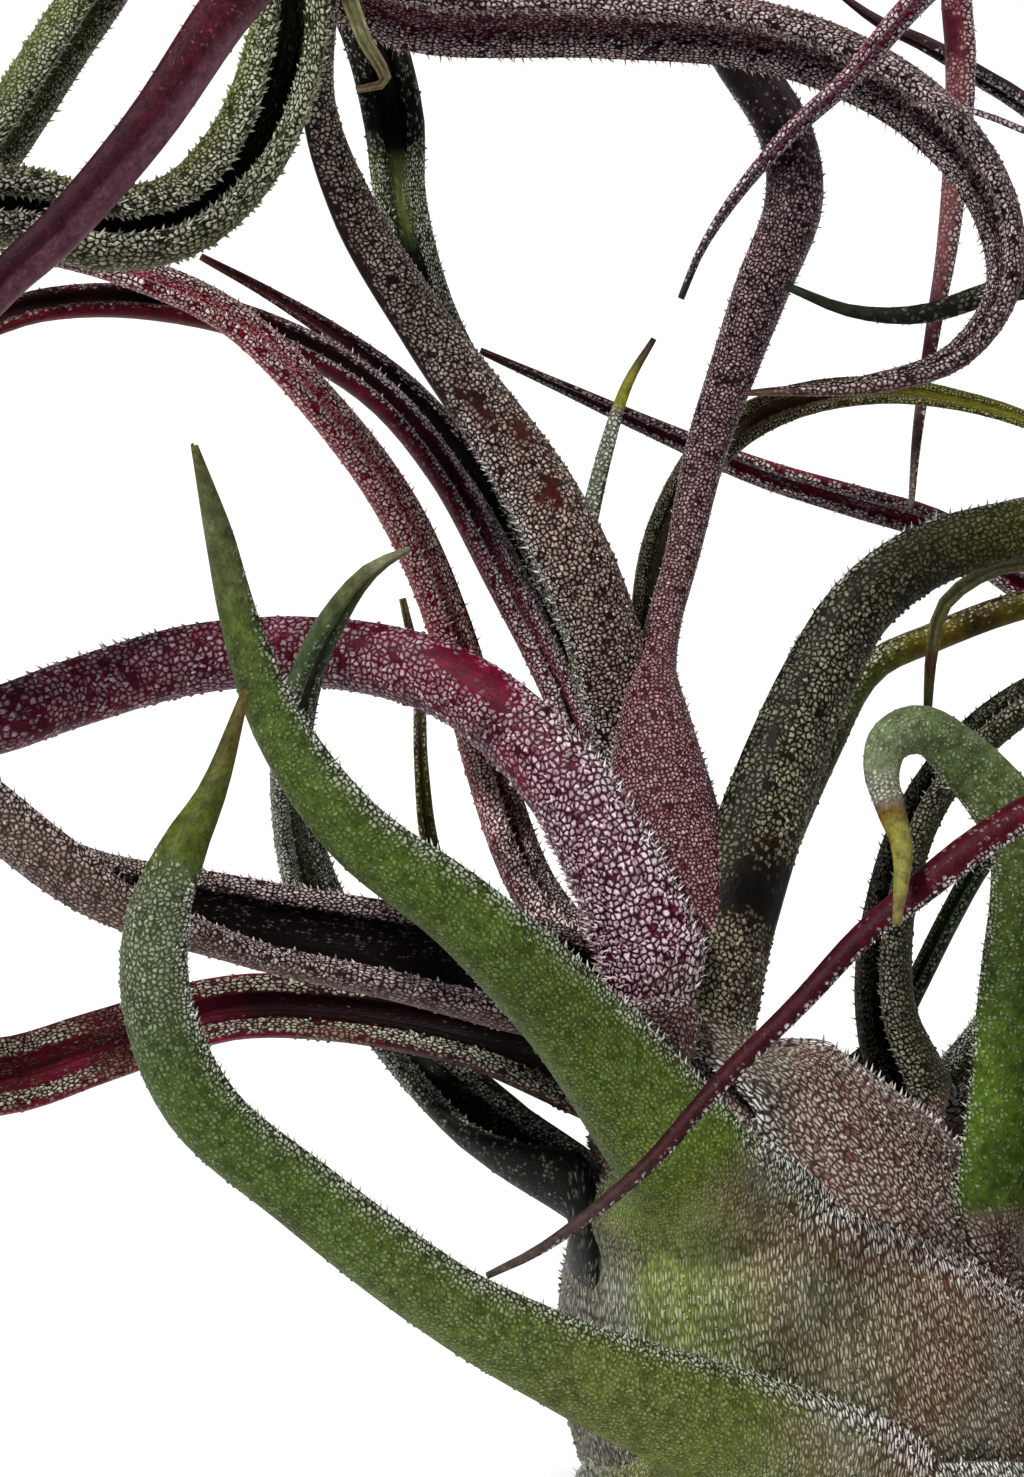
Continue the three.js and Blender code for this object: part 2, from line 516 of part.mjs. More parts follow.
// The blade's rings, spaced by length and by how far it turns.
function bladeRings(leaf, start) {
  const rows = leaf.path ?? leaf.floor;
  const points = rows.map((r) => (leaf.path ? readPoint(r) : new THREE.Vector3(r[0], r[1], r[2])));
  const curve = new THREE.CatmullRomCurve3(points, false, "centripetal");
  const steps = 40 * (points.length - 1);
  const stations = [];
  let length = 0;
  let last = null;
  let lastKept = null;
  let sinceLength = 0;
  const total = curve.getLength();
  for (let i = 0; i <= steps; i++) {
    const t = i / steps;
    const p = curve.getPoint(t);
    const tangent = curve.getTangent(t).normalize();
    if (last) {
      length += p.distanceTo(last);
      sinceLength += p.distanceTo(last);
    }
    last = p;
    const turn = lastKept ? THREE.MathUtils.radToDeg(tangent.angleTo(lastKept)) : Infinity;
    if (!lastKept || sinceLength > RING_SPACING || turn > RING_TURN || i === steps) {
      if (i === steps && sinceLength < 0.8 && stations.length > 2) stations.pop();
      stations.push({ p, tangent, t, length });
      lastKept = tangent;
      sinceLength = 0;
    }
  }
  const out = start.out.clone();
  const turnTo = new THREE.Quaternion();
  let along = start.along.clone();
  return stations.map((s) => {
    turnTo.setFromUnitVectors(along, s.tangent);
    out.applyQuaternion(turnTo);
    out.addScaledVector(s.tangent, -out.dot(s.tangent)).normalize();
    along = s.tangent.clone();
    const at = s.t * (rows.length - 1);
    const i = Math.min(Math.floor(at), rows.length - 2);
    const width = THREE.MathUtils.lerp(rows[i][3], rows[i + 1][3], at - i);
    const radius = Math.max(width, TIP_WIDTH) / 2;
    const share = s.length / total;
    const half = THREE.MathUtils.degToRad(fromTable(leaf.curl ?? [[0, CURL]], share));
    const turn = THREE.MathUtils.degToRad(fromTable(leaf.twist ?? [[0, 0]], share));
    const facing = out.clone().applyAxisAngle(s.tangent, turn);
    return {
      centre: s.p.clone().addScaledVector(facing, (-radius * (1 + Math.cos(half))) / 2),
      along: s.tangent,
      out: facing,
      radius,
      half,
      wall: Math.min(WALL, WALL_SHARE * radius),
    };
  });
}

// The sheath's rings follow the bulb, then narrow and roll up into the blade.
function leafSolid(leaf, grow) {
  const out = outwards(leaf.azimuth);
  const blade = bladeRings(leaf, { along: AXIS, out });
  const triangles = [];
  const rings = [];
  if (leaf.layer !== undefined) {
    const low = SHEATH_LOWS[leaf.layer];
    const rows = Math.max(1, Math.round((leaf.ends - low) / 7));
    const across = leaf.spread > 70 ? 8 : leaf.spread > 45 ? 5 : 4;
    const spread = THREE.MathUtils.degToRad(leaf.spread);
    let lastSheath = null;
    for (let i = 0; i <= rows; i++) {
      const height = low + ((leaf.ends - low) * i) / rows;
      const narrowing = 1 - 0.42 * (i / rows) ** 4;
      lastSheath = {
        centre: axisPoint(height),
        along: AXIS.clone(),
        out: out.clone(),
        radius: layerRadius(leaf.layer, height),
        half: spread * narrowing,
        wall: SHEATH_THICKNESS,
      };
      rings.push({ ring: lastSheath, count: across, inner: across });
    }
    rings.push({ from: lastSheath, to: blade[0], count: across, inner: across });
  }
  const [count, inner] = leaf.curl ? [7, 5] : [5, 3];
  for (const ring of blade) rings.push({ ring, count, inner });
  if (grow > 0) {
    const root = rings[0].ring;
    root.centre.addScaledVector(root.along, -grow);
    const tip = rings[rings.length - 1].ring;
    tip.centre.addScaledVector(tip.along, grow);
  }
  const made = rings.map((r) => (r.ring ? arcRing(r.ring, r.count, r.inner, grow) : shoulderRing(r, grow)));
  for (let i = 1; i < made.length; i++) joinRings(made[i - 1], made[i], triangles);
  closeRing(made[0], false, triangles);
  closeRing(made[made.length - 1], true, triangles);
  return toManifold(triangles);
}

// The heart: full width at its foot, where the leaves grow from, and slimmer under their sheaths.
function heartSolid(grow) {
  const sides = 14;
  const heights = [-4, -2, 1, 4, 6, 8, 14, 22, 31, 39, HEART_TOP];
  const rings = heights.map((height) => {
    const foot = fromTable(BULB_PROFILE, height) - 0.2;
    const slim = layerRadius(4, height) - HEART_DEPTH + 3.6;
    const radius = (height <= 6 ? foot : Math.min(foot, slim)) + grow;
    return Array.from({ length: sides }, (_, i) =>
      axisPoint(height).addScaledVector(outwards((360 * i) / sides), radius),
    );
  });
  const triangles = [];
  const foot = axisPoint(heights[0] - grow);
  const top = axisPoint(HEART_TOP + 2 + grow);
  for (let i = 0; i < sides; i++) {
    const j = (i + 1) % sides;
    triangles.push([foot, rings[0][i], rings[0][j]]);
    for (let k = 1; k < rings.length; k++) {
      triangles.push([rings[k - 1][i], rings[k][i], rings[k][j]]);
      triangles.push([rings[k - 1][i], rings[k][j], rings[k - 1][j]]);
    }
    triangles.push([rings[rings.length - 1][i], top, rings[rings.length - 1][j]]);
  }
  return toManifold(triangles);
}

function aboveFloor(solid) {
  const floor = wasm.Manifold.cube([400, 400, 100], true).translate([0, 0, -50]);
  return solid.subtract(floor);
}

function largest(solid) {
  const bodies = solid.decompose();
  return bodies.reduce((best, b) => (b.volume() > best.volume() ? b : best), bodies[0]);
}

// Moves each vertex to a fine grid and merges those that meet, so that no sliver is left.
function tidied(solid) {
  const m = solid.getMesh();
  const n = m.numProp;
  const seen = new Map();
  const vertices = [];
  const ids = [];
  for (let i = 0; i < m.vertProperties.length / n; i++) {
    const p = [0, 1, 2].map((k) => Math.round(m.vertProperties[n * i + k] / GRID) * GRID);
    const key = p.map((x) => Math.round(x / GRID)).join(" ");
    if (!seen.has(key)) {
      seen.set(key, vertices.length / 3);
      vertices.push(...p);
    }
    ids.push(seen.get(key));
  }
  const faces = [];
  for (let i = 0; i < m.triVerts.length; i += 3) {
    const [a, b, c] = [0, 1, 2].map((k) => ids[m.triVerts[i + k]]);
    if (a !== b && b !== c && c !== a) faces.push(a, b, c);
  }
  try {
    return new wasm.Manifold(
      new wasm.Mesh({
        numProp: 3,
        vertProperties: new Float32Array(vertices),
        triVerts: new Uint32Array(faces),
      }),
    );
  } catch {
    return solid;
  }
}

function meshOf(name, solid, colour) {
  const m = solid.getMesh();
  const n = m.numProp;
  const position = new Float32Array(m.triVerts.length * 3);
  m.triVerts.forEach((v, i) => {
    for (let k = 0; k < 3; k++) {
      position[3 * i + k] = m.vertProperties[n * v + k] - FLAT_SPOT.getComponent(k);
    }
  });
  const geometry = new THREE.BufferGeometry();
  geometry.setAttribute("position", new THREE.BufferAttribute(position, 3));
  geometry.computeVertexNormals();
  const material = new THREE.MeshStandardMaterial({ color: colour, roughness: 0.85, metalness: 0 });
  const mesh = new THREE.Mesh(geometry, material);
  mesh.name = name;
  return mesh;
}

const group = new THREE.Group();
const taken = [];

function addNode(name, colour, solid, grown) {
  let left = solid;
  for (const other of taken) left = left.subtract(other);
  left = largest(aboveFloor(left));
  for (let i = 0; i < 3; i++) left = largest(tidied(left));
  taken.push(grown, left);
  group.add(meshOf(name, left, colour));
}

for (const leaf of LEAVES) {
  addNode(leaf.name, leaf.colour, leafSolid(leaf, 0), leafSolid(leaf, GAP));
}
addNode("bulb_heart", 0x6b5a3c, heartSolid(0), heartSolid(GAP));
for (const leaf of INNER_LEAVES) {
  addNode(leaf.name, leaf.colour, leafSolid(leaf, 0), leafSolid(leaf, GAP));
}

export default group;
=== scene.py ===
# %% [markdown]
# # An air plant, dressed over its solid model
# The solids give each leaf its place and its path. This script gives each leaf a smooth body
# along the same path, its colours from sheath to tip, and the silvery scales that cover it.
# All sizes are in millimetres until the last step of each mesh, where MM turns them into metres.

# %% Load the frame
import math
import random

import bpy
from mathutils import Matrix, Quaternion, Vector, noise


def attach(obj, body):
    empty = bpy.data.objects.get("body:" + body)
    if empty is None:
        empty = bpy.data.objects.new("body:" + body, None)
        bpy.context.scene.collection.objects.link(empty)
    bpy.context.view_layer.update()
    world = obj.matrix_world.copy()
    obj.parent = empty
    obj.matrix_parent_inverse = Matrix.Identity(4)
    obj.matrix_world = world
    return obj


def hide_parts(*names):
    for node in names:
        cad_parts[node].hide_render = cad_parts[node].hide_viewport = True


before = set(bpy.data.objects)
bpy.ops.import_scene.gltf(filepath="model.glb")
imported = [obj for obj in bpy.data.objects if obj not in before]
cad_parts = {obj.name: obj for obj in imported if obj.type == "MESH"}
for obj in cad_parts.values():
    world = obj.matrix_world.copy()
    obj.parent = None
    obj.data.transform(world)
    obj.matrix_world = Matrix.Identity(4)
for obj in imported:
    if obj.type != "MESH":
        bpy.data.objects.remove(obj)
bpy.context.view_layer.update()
print("nodes in the frame:", len(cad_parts))

# %% [markdown]
# ## Sizes
# The bulb is a leaning spindle. Its profile and the layers of sheaths round it are the ones
# that the solids were made with, so that every leaf lies where its node is.

# %% The bulb and the leaves in numbers
MM = 0.001
FLAT_SPOT = Vector((-1.9, -0.8, 0.0))
BULB_FOOT = Vector((1.5, 0.0, 1.0))
BULB_NECK = Vector((-16.2, -4.2, 48.9))
BULB_PROFILE = [
    (-4, 4), (-2, 8), (1, 11), (5, 14.2), (10, 16.8), (16, 18.2), (23, 18.2), (29, 16.8),
    (34, 15), (38, 13.2), (41, 11), (44, 9), (48, 7.2), (52, 6), (60, 5),
]  # height along the bulb, radius
LAYERS_ENDED = [
    (0, 0), (8, 0), (13, 1), (24, 1), (30, 2), (37, 2), (42, 3), (48, 4), (60, 4),
]  # height along the bulb, how many layers have ended below it
LAYER_PITCH = 1.5
SHEATH_THICKNESS = 0.9
SHEATH_LOWS = [5, 7, 8, 17, 22, 29]
HEART_DEPTH = 5.1
HEART_TOP = 44
WALL = 1.3
WALL_SHARE = 0.62
CURL = 104
SHOULDER_REACH = 0.8

# The paths were read off the photograph in the plane that faces a viewer a little above.
READ_TILT = math.radians(15)
READ_CENTRE = Vector((-26.9, 0.0, 64.1))
READ_DISTANCE = 400.0
print("bulb, mm along its axis:", round((BULB_NECK - BULB_FOOT).length, 1))

# %% [markdown]
# ## The leaves
# azimuth is where the sheath sits round the bulb: 0 faces the viewer and 90 is to the left.
# layer 0 is the outermost sheath, ends is the height where it gives way to the blade, and
# spread is half the angle that it takes round the bulb. path holds (right, up, near, width) as
# read, and floor holds (x, y, z, width). twist turns the channel and curl rolls it up: both hold
# (share of the blade, degrees), and half the blade's arc is CURL where none is given.

# %% The leaf table
LEAVES = [
    dict(name="foot_leaf_left_front", azimuth=62, layer=0, ends=13, spread=44,
        floor=[(-18, -10, 11.5, 7.4), (-25, -15, 11, 6.2), (-32, -21, 6.5, 5.6), (-39, -28, 2.2, 5.2),
            (-46, -35, 1.4, 4.8), (-53, -41, 3, 4.2), (-60, -43, 8, 3.4), (-66, -41, 13, 2.2),
            (-70, -37, 17, 0.5)]),
    dict(name="foot_leaf_left_back", azimuth=120, layer=0, ends=10, spread=40,
        floor=[(-18, 7, 8.4, 7.2), (-25, 11, 6.4, 6), (-33, 15, 3.4, 5.6), (-41, 18, 1.8, 5.2),
            (-48, 19, 1.4, 4.8), (-56, 19, 2.4, 4.2), (-64, 17, 6, 3.4), (-70, 15, 12, 2.2),
            (-73, 16, 19, 0.5)]),
    dict(name="foot_leaf_right_front", azimuth=-74, layer=0, ends=8.6, spread=34,
        floor=[(18, -8, 18, 7), (25, -15, 18.5, 6), (31, -24, 11, 5.4), (36, -31, 3.4, 5),
            (40, -38, 1.4, 4.6), (44, -45, 3.4, 3.8), (50, -50, 9, 2.6), (56, -52, 16, 0.5)]),
    dict(name="foot_leaf_right_back", azimuth=-132, layer=0, ends=10, spread=42,
        floor=[(15, 13, 18, 7), (22, 18, 18.5, 6), (31, 22, 11, 5.4), (38, 24, 3.6, 5),
            (46, 25, 1.4, 4.6), (55, 27, 3, 3.8), (61, 31, 8, 2.6), (64, 36, 15, 0.5)]),
    dict(name="foot_leaf_back", azimuth=176, layer=1, ends=14, spread=46,
        floor=[(-5, 19, 19, 7.2), (-3, 27, 18, 6), (0, 36, 11, 5.6), (2, 44, 3.4, 5),
            (5, 52, 1.4, 4.6), (9, 60, 3, 3.8), (15, 65, 8, 2.6), (22, 67, 14, 0.5)]),
    dict(name="leaf_behind_right", azimuth=-165, layer=2, ends=28, spread=62,
        floor=[(-2, 16, 31, 6.4), (5, 26, 36, 5.4), (12, 38, 43, 5), (16.5, 50, 54, 4.6),
            (18.5, 60, 67, 4), (18, 63, 79, 3), (16, 60, 89, 1.8), (13, 54, 95, 0.5)]),
    dict(name="leaf_before_right", azimuth=-44, layer=0, ends=12, spread=26,
        floor=[(14, -17, 20, 6.4), (20, -27, 28, 5.4), (25, -37, 42, 5), (30, -46, 63, 4.4),
            (33, -50, 78, 3.6), (31, -48, 90, 2.4), (26, -42, 97, 0.5)]),
    dict(name="leaf_low_green", azimuth=30, layer=1, ends=25, spread=82,
        path=[(11.3, -41.5, 9.5, 9), (2.9, -37.9, 15.5, 6.6), (-4.3, -34, 20, 5.3),
            (-12.7, -27.7, 24, 4.9), (-19, -22.3, 27, 4.7), (-21.6, -16.3, 29, 4.3),
            (-21.6, -10.9, 30, 3.8), (-19.9, -6.4, 30, 2.8), (-18.1, -3.1, 29, 1.7),
            (-16, 2.9, 28, 0.5)]),
    dict(name="leaf_front_hanging", azimuth=-80, layer=1, ends=13, spread=30,
        path=[(44, -40, -2, 6.4), (52, -32, 4, 5), (58, -16, 12, 4.6), (58, -2, 20, 4.2),
            (54, 14, 26, 3.8), (49, 30, 26, 3.4), (43, 42, 20, 3), (36, 48.5, 13, 2.6),
            (29.8, 48.3, 9, 2.2), (25.4, 45.5, 8, 1.9), (23.3, 43.4, 8, 1.8), (20.3, 39.8, 8, 1.5),
            (16.7, 36.5, 8, 1.3), (13.4, 32.6, 8, 0.9), (11.3, 29.3, 8, 0.6), (10.1, 26.4, 8, 0.5)]),
    dict(name="leaf_front_diagonal", azimuth=-54, layer=1, ends=20, spread=34,
        path=[(40, -38, 8, 6.4), (48, -35, 10, 5.5), (54, -27, 11, 5.2), (54.5, -16, 12, 4.8),
            (49, -8, 13, 4.2), (42, -3.5, 14, 3.6), (36, -2.3, 14.5, 3), (30.7, -4.4, 15, 2.4),
            (27.2, -6.7, 15.5, 2.5), (24.2, -9.1, 16, 2.3), (20.9, -11.8, 16.5, 1.8),
            (17.3, -15.7, 17.5, 1.6), (12.5, -20.5, 18.7, 1.4), (7.7, -25.9, 20, 1.2),
            (2, -30.4, 20.5, 0.8), (-1.5, -32.2, 19.5, 0.5)]),
    dict(name="leaf_dark_band", azimuth=-94, layer=2, ends=19, spread=30,
        path=[(38, -33, -7, 6.4), (46, -24, -8, 5), (51, -10, -8, 4.2), (50.5, 8, -11, 3.6),
            (45.5, 22, -15, 3), (38.5, 31.5, -18, 2.4), (30.7, 38.2, -19, 1.8), (28.1, 39.8, -19, 1.7),
            (25.1, 41.6, -19, 1.4), (22.1, 43, -19, 1), (19.5, 44.8, -19, 0.5)]),
    dict(name="leaf_upper_green", azimuth=32, layer=2, ends=40, spread=96,
        path=[(9.3, -25, 9.5, 8.6), (3.5, -17.5, 15, 6.4), (-3.1, -10.9, 20, 5.2),
            (-9.7, -5.8, 21, 4.5), (-14.2, 0.5, 20, 3.7), (-16.4, 6.5, 21, 2.7),
            (-17.8, 12.5, 23, 1.9), (-19.1, 17.6, 26, 0.5)]),
    dict(name="leaf_pink_thread", azimuth=-78, layer=2, ends=26, spread=28,
        path=[(38, -28, 0, 6), (43, -18, 2, 4.6), (44.8, -4, 3, 3.8), (44.5, 10, 3, 3),
            (43.5, 22, 4, 2.2), (40.5, 31, 5, 1.5), (36, 34.3, 6, 1), (30.7, 36.5, 6, 0.65),
            (27.8, 37.6, 6, 0.6), (23.9, 38.1, 6, 0.5)]),
    dict(name="leaf_green_hook", azimuth=-76, layer=3, ends=31, spread=42,
        path=[(29.3, -27.1, 0, 7.2), (29.6, -20.5, 1, 5.8), (30.2, -13.3, 3, 5.5),
            (30.8, -7.9, 6, 5.4), (30.5, -4.9, 8, 5), (29.3, -3.2, 9, 4.7), (27.2, -1, 10, 4.1),
            (24.8, 0.7, 11.5, 3.2), (22.9, 0.1, 13, 2.6), (22.3, -1.9, 14.5, 2.2),
            (22.9, -4.4, 16, 1.8), (23.5, -6.7, 18, 1.3), (23.1, -11.2, 20, 0.5)]),
    dict(name="leaf_hanging", azimuth=-142, layer=1, ends=23, spread=40,
        path=[(27, -27, -18, 6.6), (36, -23, -26, 5.2), (45, -13, -34, 5), (51, 1, -40, 4.6),
            (52, 18, -40, 4.2), (48, 36, -34, 3.8), (40, 50, -25, 3.4), (32, 53.5, -18, 3),
            (27.8, 49.5, -15.5, 2.7), (26.6, 45.5, -15, 2.6), (26.8, 40.7, -15, 2.6),
            (26.6, 35.3, -15, 2.3), (26, 29.3, -15, 1.8), (25.2, 24.5, -15, 1.3),
            (24.3, 18.5, -15.5, 0.9), (23.9, 13.7, -16, 0.5)]),
    dict(name="leaf_back_maroon", azimuth=-128, layer=3, ends=29, spread=54,
        path=[(30, -22, -15, 6), (36.5, -16.3, -17.5, 3.8), (40.7, -8.5, -19, 3.2),
            (40.1, -0.1, -20, 3), (35.9, 5.9, -20, 2.8), (30.7, 9.5, -20, 2.6), (25.7, 12.8, -20, 2.4),
            (20.9, 14.3, -20, 2.3), (14.9, 16.1, -20, 2), (8.3, 18.8, -20, 1.4), (2.9, 21.2, -20, 0.9),
            (-1.9, 23.3, -20, 0.5)]),
    dict(name="leaf_channelled", azimuth=-118, layer=4, ends=36, spread=60,
        path=[(24.4, -21, -8, 6.4), (22.7, -16.3, -8, 4.8), (23, -9.7, -8.5, 4), (25.1, -3.7, -9, 3.7),
            (29.3, 1, -9, 3.6), (34.1, 3.5, -9, 3.2), (38.9, 2.9, -9, 2.5), (42.5, -1.3, -9, 1.5),
            (43.9, -7, -9, 0.5)]),
    dict(name="leaf_long_crossing", azimuth=66, layer=3, ends=44, spread=62,
        twist=[(0, 0), (0.05, -50), (0.13, -50), (0.2, 0)],
        path=[(7.5, -17.4, 3.5, 10), (1.2, -15, 6.5, 7.8), (-6.7, -13.3, 9, 6.2),
            (-15.7, -11.5, 10, 5.6), (-24.7, -9.1, 14, 5.5), (-30.7, -4.9, 16, 5.4),
            (-37.9, 2.3, 17, 5.2), (-41.5, 13.1, 12, 5), (-40.3, 23.3, 8, 5), (-35.5, 29.9, 5, 4.9),
            (-30.7, 36.5, 2, 4.8), (-25.6, 44.3, -2, 4.8), (-22.6, 47.9, -3.5, 4.8),
            (-18.7, 47.6, -4, 4.9), (-10.9, 45.8, -4, 5.1), (-5.5, 43.8, -3, 5.3),
            (5.3, 43.4, -2, 5.1), (14.9, 42.5, -1, 4.9), (21.5, 40.1, 0, 4.7), (26.3, 36.5, 0, 4.3),
            (29.3, 31.7, 0, 3.5), (29.6, 26.9, 1, 2.7), (26.9, 23, 1, 2.3), (22.1, 21.3, 2, 1.8),
            (14, 20.7, 2, 0.5)]),
    dict(name="leaf_inner_green", azimuth=88, layer=2, ends=38, spread=50, twist=[(0, 0), (0.15, -50)],
        path=[(4.4, -27.2, -2, 6.4), (-0.7, -24.1, -6, 5), (-6.7, -18.1, -10, 4.2),
            (-11.5, -10.9, -10, 3.8), (-13.4, -3.7, -4, 3), (-12.9, 2.3, 3, 2.7), (-10.9, 7.1, 8, 2.3),
            (-8.5, 10.1, 10, 1.5), (-6.1, 11.4, 10, 0.5)]),
    dict(name="leaf_left_loop", azimuth=138, layer=4, ends=41, spread=78,
        twist=[(0, 0), (0.33, -26), (0.6, -66), (1, -66)],
        curl=[(0, 104), (0.45, 104), (0.6, 146), (0.68, 162), (0.82, 162), (0.88, 130), (1, 104)],
        path=[(5.3, -20.5, -2, 6.4), (-1.9, -18.1, -3, 4.4), (-9.7, -16.6, -4, 4),
            (-16.9, -16.4, -4, 4), (-24.7, -18.7, -3, 4.4), (-30.7, -20.5, -2, 4.7),
            (-42, -20, 5, 4.8), (-52, -9.7, 15, 4.8), (-56, 6, 24, 4.9), (-52, 20, 25, 4.9),
            (-41.5, 29.5, 18.5, 4.8), (-30.7, 32, 12, 4.7), (-24.7, 30.6, 9, 5), (-19.9, 31.4, 7, 5),
            (-16, 35.3, 5, 5), (-13.9, 40.7, 4, 4.8), (-13.4, 45.5, 4, 4.2), (-15.7, 56.3, 3, 2.8),
            (-19.9, 61.1, 2, 0.5)]),
    dict(name="leaf_dark_arch", azimuth=-44, layer=3, ends=46, spread=52,
        path=[(12, -16.5, 3, 7.4), (13.4, -11.5, 2, 6.3), (16.1, -3.1, 0, 5.7), (18.5, 2.9, -2, 5.1),
            (21.2, 7.7, -3, 4.5), (25.1, 10.7, -4, 4.2), (30.7, 12.4, -5, 3.8), (37, 14, -5, 3.5),
            (41, 18.5, -4, 2.8), (39.2, 24.6, -3.5, 2.2), (34, 27.3, -3, 1.8), (29.3, 26.9, -2.8, 1.5),
            (24.5, 25.5, -2.5, 1.2), (20.3, 25.7, -2.5, 0.8), (16.4, 27.2, -2.5, 0.5)]),
    dict(name="leaf_maroon_arch", azimuth=50, layer=4, ends=50, spread=66,
        path=[(7.9, -13.5, 4.5, 7.6), (5.9, -8.5, 4, 6.8), (2.3, -2.4, 2, 5.8), (-3.7, 2.9, -2, 5),
            (-10.9, 4.8, -5, 4.5), (-18.7, 4.5, -5, 4.5), (-25.9, 2.5, -3, 4.4), (-30.7, 0.8, 0, 4.3),
            (-36.5, -0.6, -2, 3.9), (-43, -3.5, -9, 3.4), (-47, -8, -18, 2.6), (-47.5, -14, -27, 1.6),
            (-45, -19, -34, 0.5)]),
    dict(name="leaf_tall_loop", azimuth=-12, layer=5, ends=50, spread=50,
        path=[(11.4, -12.5, 2, 8), (10.1, -8.6, 2, 7.4), (9, -3, 1, 6.4), (8.6, 1.5, -0.5, 4.4),
            (8.6, 4.4, -2.5, 2.6), (9.2, 7.5, -5, 2.1), (10.1, 10.7, -7, 2.1), (11.6, 17.3, -9, 2.6),
            (13.4, 22.7, -9, 3), (14.9, 26.9, -8, 3.4), (16.9, 32.3, -8, 3.6), (16.4, 36.5, -9, 3.4),
            (13.4, 41.3, -10, 3.2), (10.7, 46.1, -10, 3.2), (5.3, 51.5, -6, 3.5), (-1.9, 53.9, 0, 3.8),
            (-9.7, 50.9, 8, 4), (-16.3, 44.3, 14, 4), (-21.7, 36.5, 16, 3.6), (-27.1, 30.2, 17, 3.3),
            (-30.7, 26.9, 18, 3), (-37, 19, 22, 2.4), (-42, 10, 28, 1.5), (-44.5, 1, 33, 0.5)]),
    # the leaves that rise out of the open neck have no sheath of their own in view
    dict(name="leaf_brown_thick", azimuth=-46,
        path=[(9.4, -10, -6, 4.8), (7.9, -2.5, -4.4, 4.9), (6.4, 4.4, -3, 5), (5.2, 8.2, -2.2, 5.1),
            (3.6, 11.9, -1.6, 5.2), (1.7, 15.4, -2, 4.9), (-0.4, 18.5, -2, 4.5), (-5.2, 25.1, -2, 3.7),
            (-9.1, 31.4, -1, 3.3), (-11.4, 37.7, 1, 2.5), (-11.2, 43.1, 3, 2), (-10.4, 46.2, 5.5, 1.5),
            (-9.9, 44.9, 8.5, 1.1), (-8.8, 41.9, 11, 0.9), (-7.6, 39.4, 12, 0.7),
            (-9.3, 38.9, 12.5, 0.5)]),
    dict(name="leaf_red_left", azimuth=95,
        path=[(9, -17, -3, 4.6), (5.3, -14, -3, 4.5), (1.1, -9.1, -5.5, 3.9), (-1.6, -1.9, -9, 3.7),
            (-3.7, 5.9, -9, 3.5), (-6.7, 13.1, -8, 3.4), (-10.9, 19.1, -6, 3.1),
            (-16.9, 25.1, -4, 2.7), (-23.5, 28.1, -2, 2.5), (-30.7, 29.9, -4, 2.2),
            (-35.5, 31.4, -8, 1.5), (-39.7, 33.5, -12, 0.5)]),
    dict(name="leaf_maroon_left", azimuth=120,
        path=[(8.4, -12, -4, 3.2), (5.3, -4.9, -6, 3), (2.9, 2.3, -8, 2.8), (-0.7, 9.5, -10, 2.8),
            (-4.3, 16.1, -12, 2.8), (-8.5, 20.9, -12, 2.8), (-15.1, 24.5, -11, 2.7),
            (-21.7, 26, -9, 2.7), (-27.1, 26, -7, 2.5), (-30.7, 25.1, -5, 2.3), (-36.1, 22.1, -5, 1.5),
            (-40.9, 16.7, -6, 0.5)]),
    dict(name="leaf_dark_left", azimuth=150,
        path=[(9.6, -11, -6, 3.2), (6.2, -1.9, -10, 3), (4.1, 3.5, -12.5, 3), (1.1, 10.1, -14, 3),
            (-2.5, 16.1, -16, 2.7), (-6.7, 20.9, -16, 2.3), (-10.3, 23.9, -15.5, 1.5),
            (-14.5, 26.6, -14.5, 0.9), (-18.7, 28.9, -14, 0.5)]),
    dict(name="leaf_young_spike", azimuth=60,
        path=[(9.4, -9, -4.6, 2), (4.6, 2.7, -5.2, 1.8), (3.4, 8, -5.6, 1.8), (4.4, 12.5, -6, 1.6),
            (5.6, 17.4, -6, 1.3), (6.9, 21.3, -6, 0.9), (8.5, 24, -6, 0.5)]),
    dict(name="leaf_dark_behind", azimuth=175,
        path=[(11, -10, -7, 3.2), (8.6, -2, -8.6, 3), (5.6, 4, -10.4, 3), (2.6, 10, -11, 3),
            (-0.7, 17.3, -11, 3), (-4.9, 25.7, -11.5, 3), (-6.7, 32.3, -12, 3.2),
            (-7.1, 37.1, -12, 3.8), (-8.5, 42.5, -13, 3.8), (-10.3, 46.1, -14, 3.4),
            (-10.9, 52.1, -18, 2), (-6.7, 59.3, -22, 0.5)]),
    dict(name="leaf_olive_arch", azimuth=-160,
        path=[(12, -8, -9.5, 3.2), (8.8, 2.3, -12.4, 3), (8.5, 8.3, -12.6, 2.6), (9.6, 13.1, -13, 2.6),
            (12.5, 17.6, -13, 2.8), (16.7, 20, -13, 2.4), (22.1, 20.8, -13, 1.9),
            (26.9, 20.2, -12, 1.4), (30.7, 19.1, -12, 1.2), (33.8, 17.6, -11.5, 1.2),
            (35.6, 14.3, -11, 1.1), (32.9, 11, -10, 1), (28.7, 10.1, -9, 1), (25.9, 8, -8.8, 0.9),
            (25.2, 5.3, -9, 0.8), (24.9, 1.1, -10, 0.5)]),
    dict(name="leaf_olive_right", azimuth=-110,
        path=[(9.6, -19.5, -3, 4.2), (12.6, -14, -6, 4), (15.4, -8, -10, 3.6), (18.5, -1.3, -13, 3.1),
            (21.5, 4.1, -14, 2.9), (25.7, 6.2, -15, 2.9), (30.7, 8, -15, 2.9), (36.5, 8.9, -14, 2.2),
            (41.3, 7.1, -12, 1.4), (44.9, 2.9, -10, 0.5)]),
    dict(name="leaf_thin_green", azimuth=-125,
        path=[(19, -21, -11, 2), (22.6, -18, -13, 1.9), (24.2, -15.1, -13.5, 1.8),
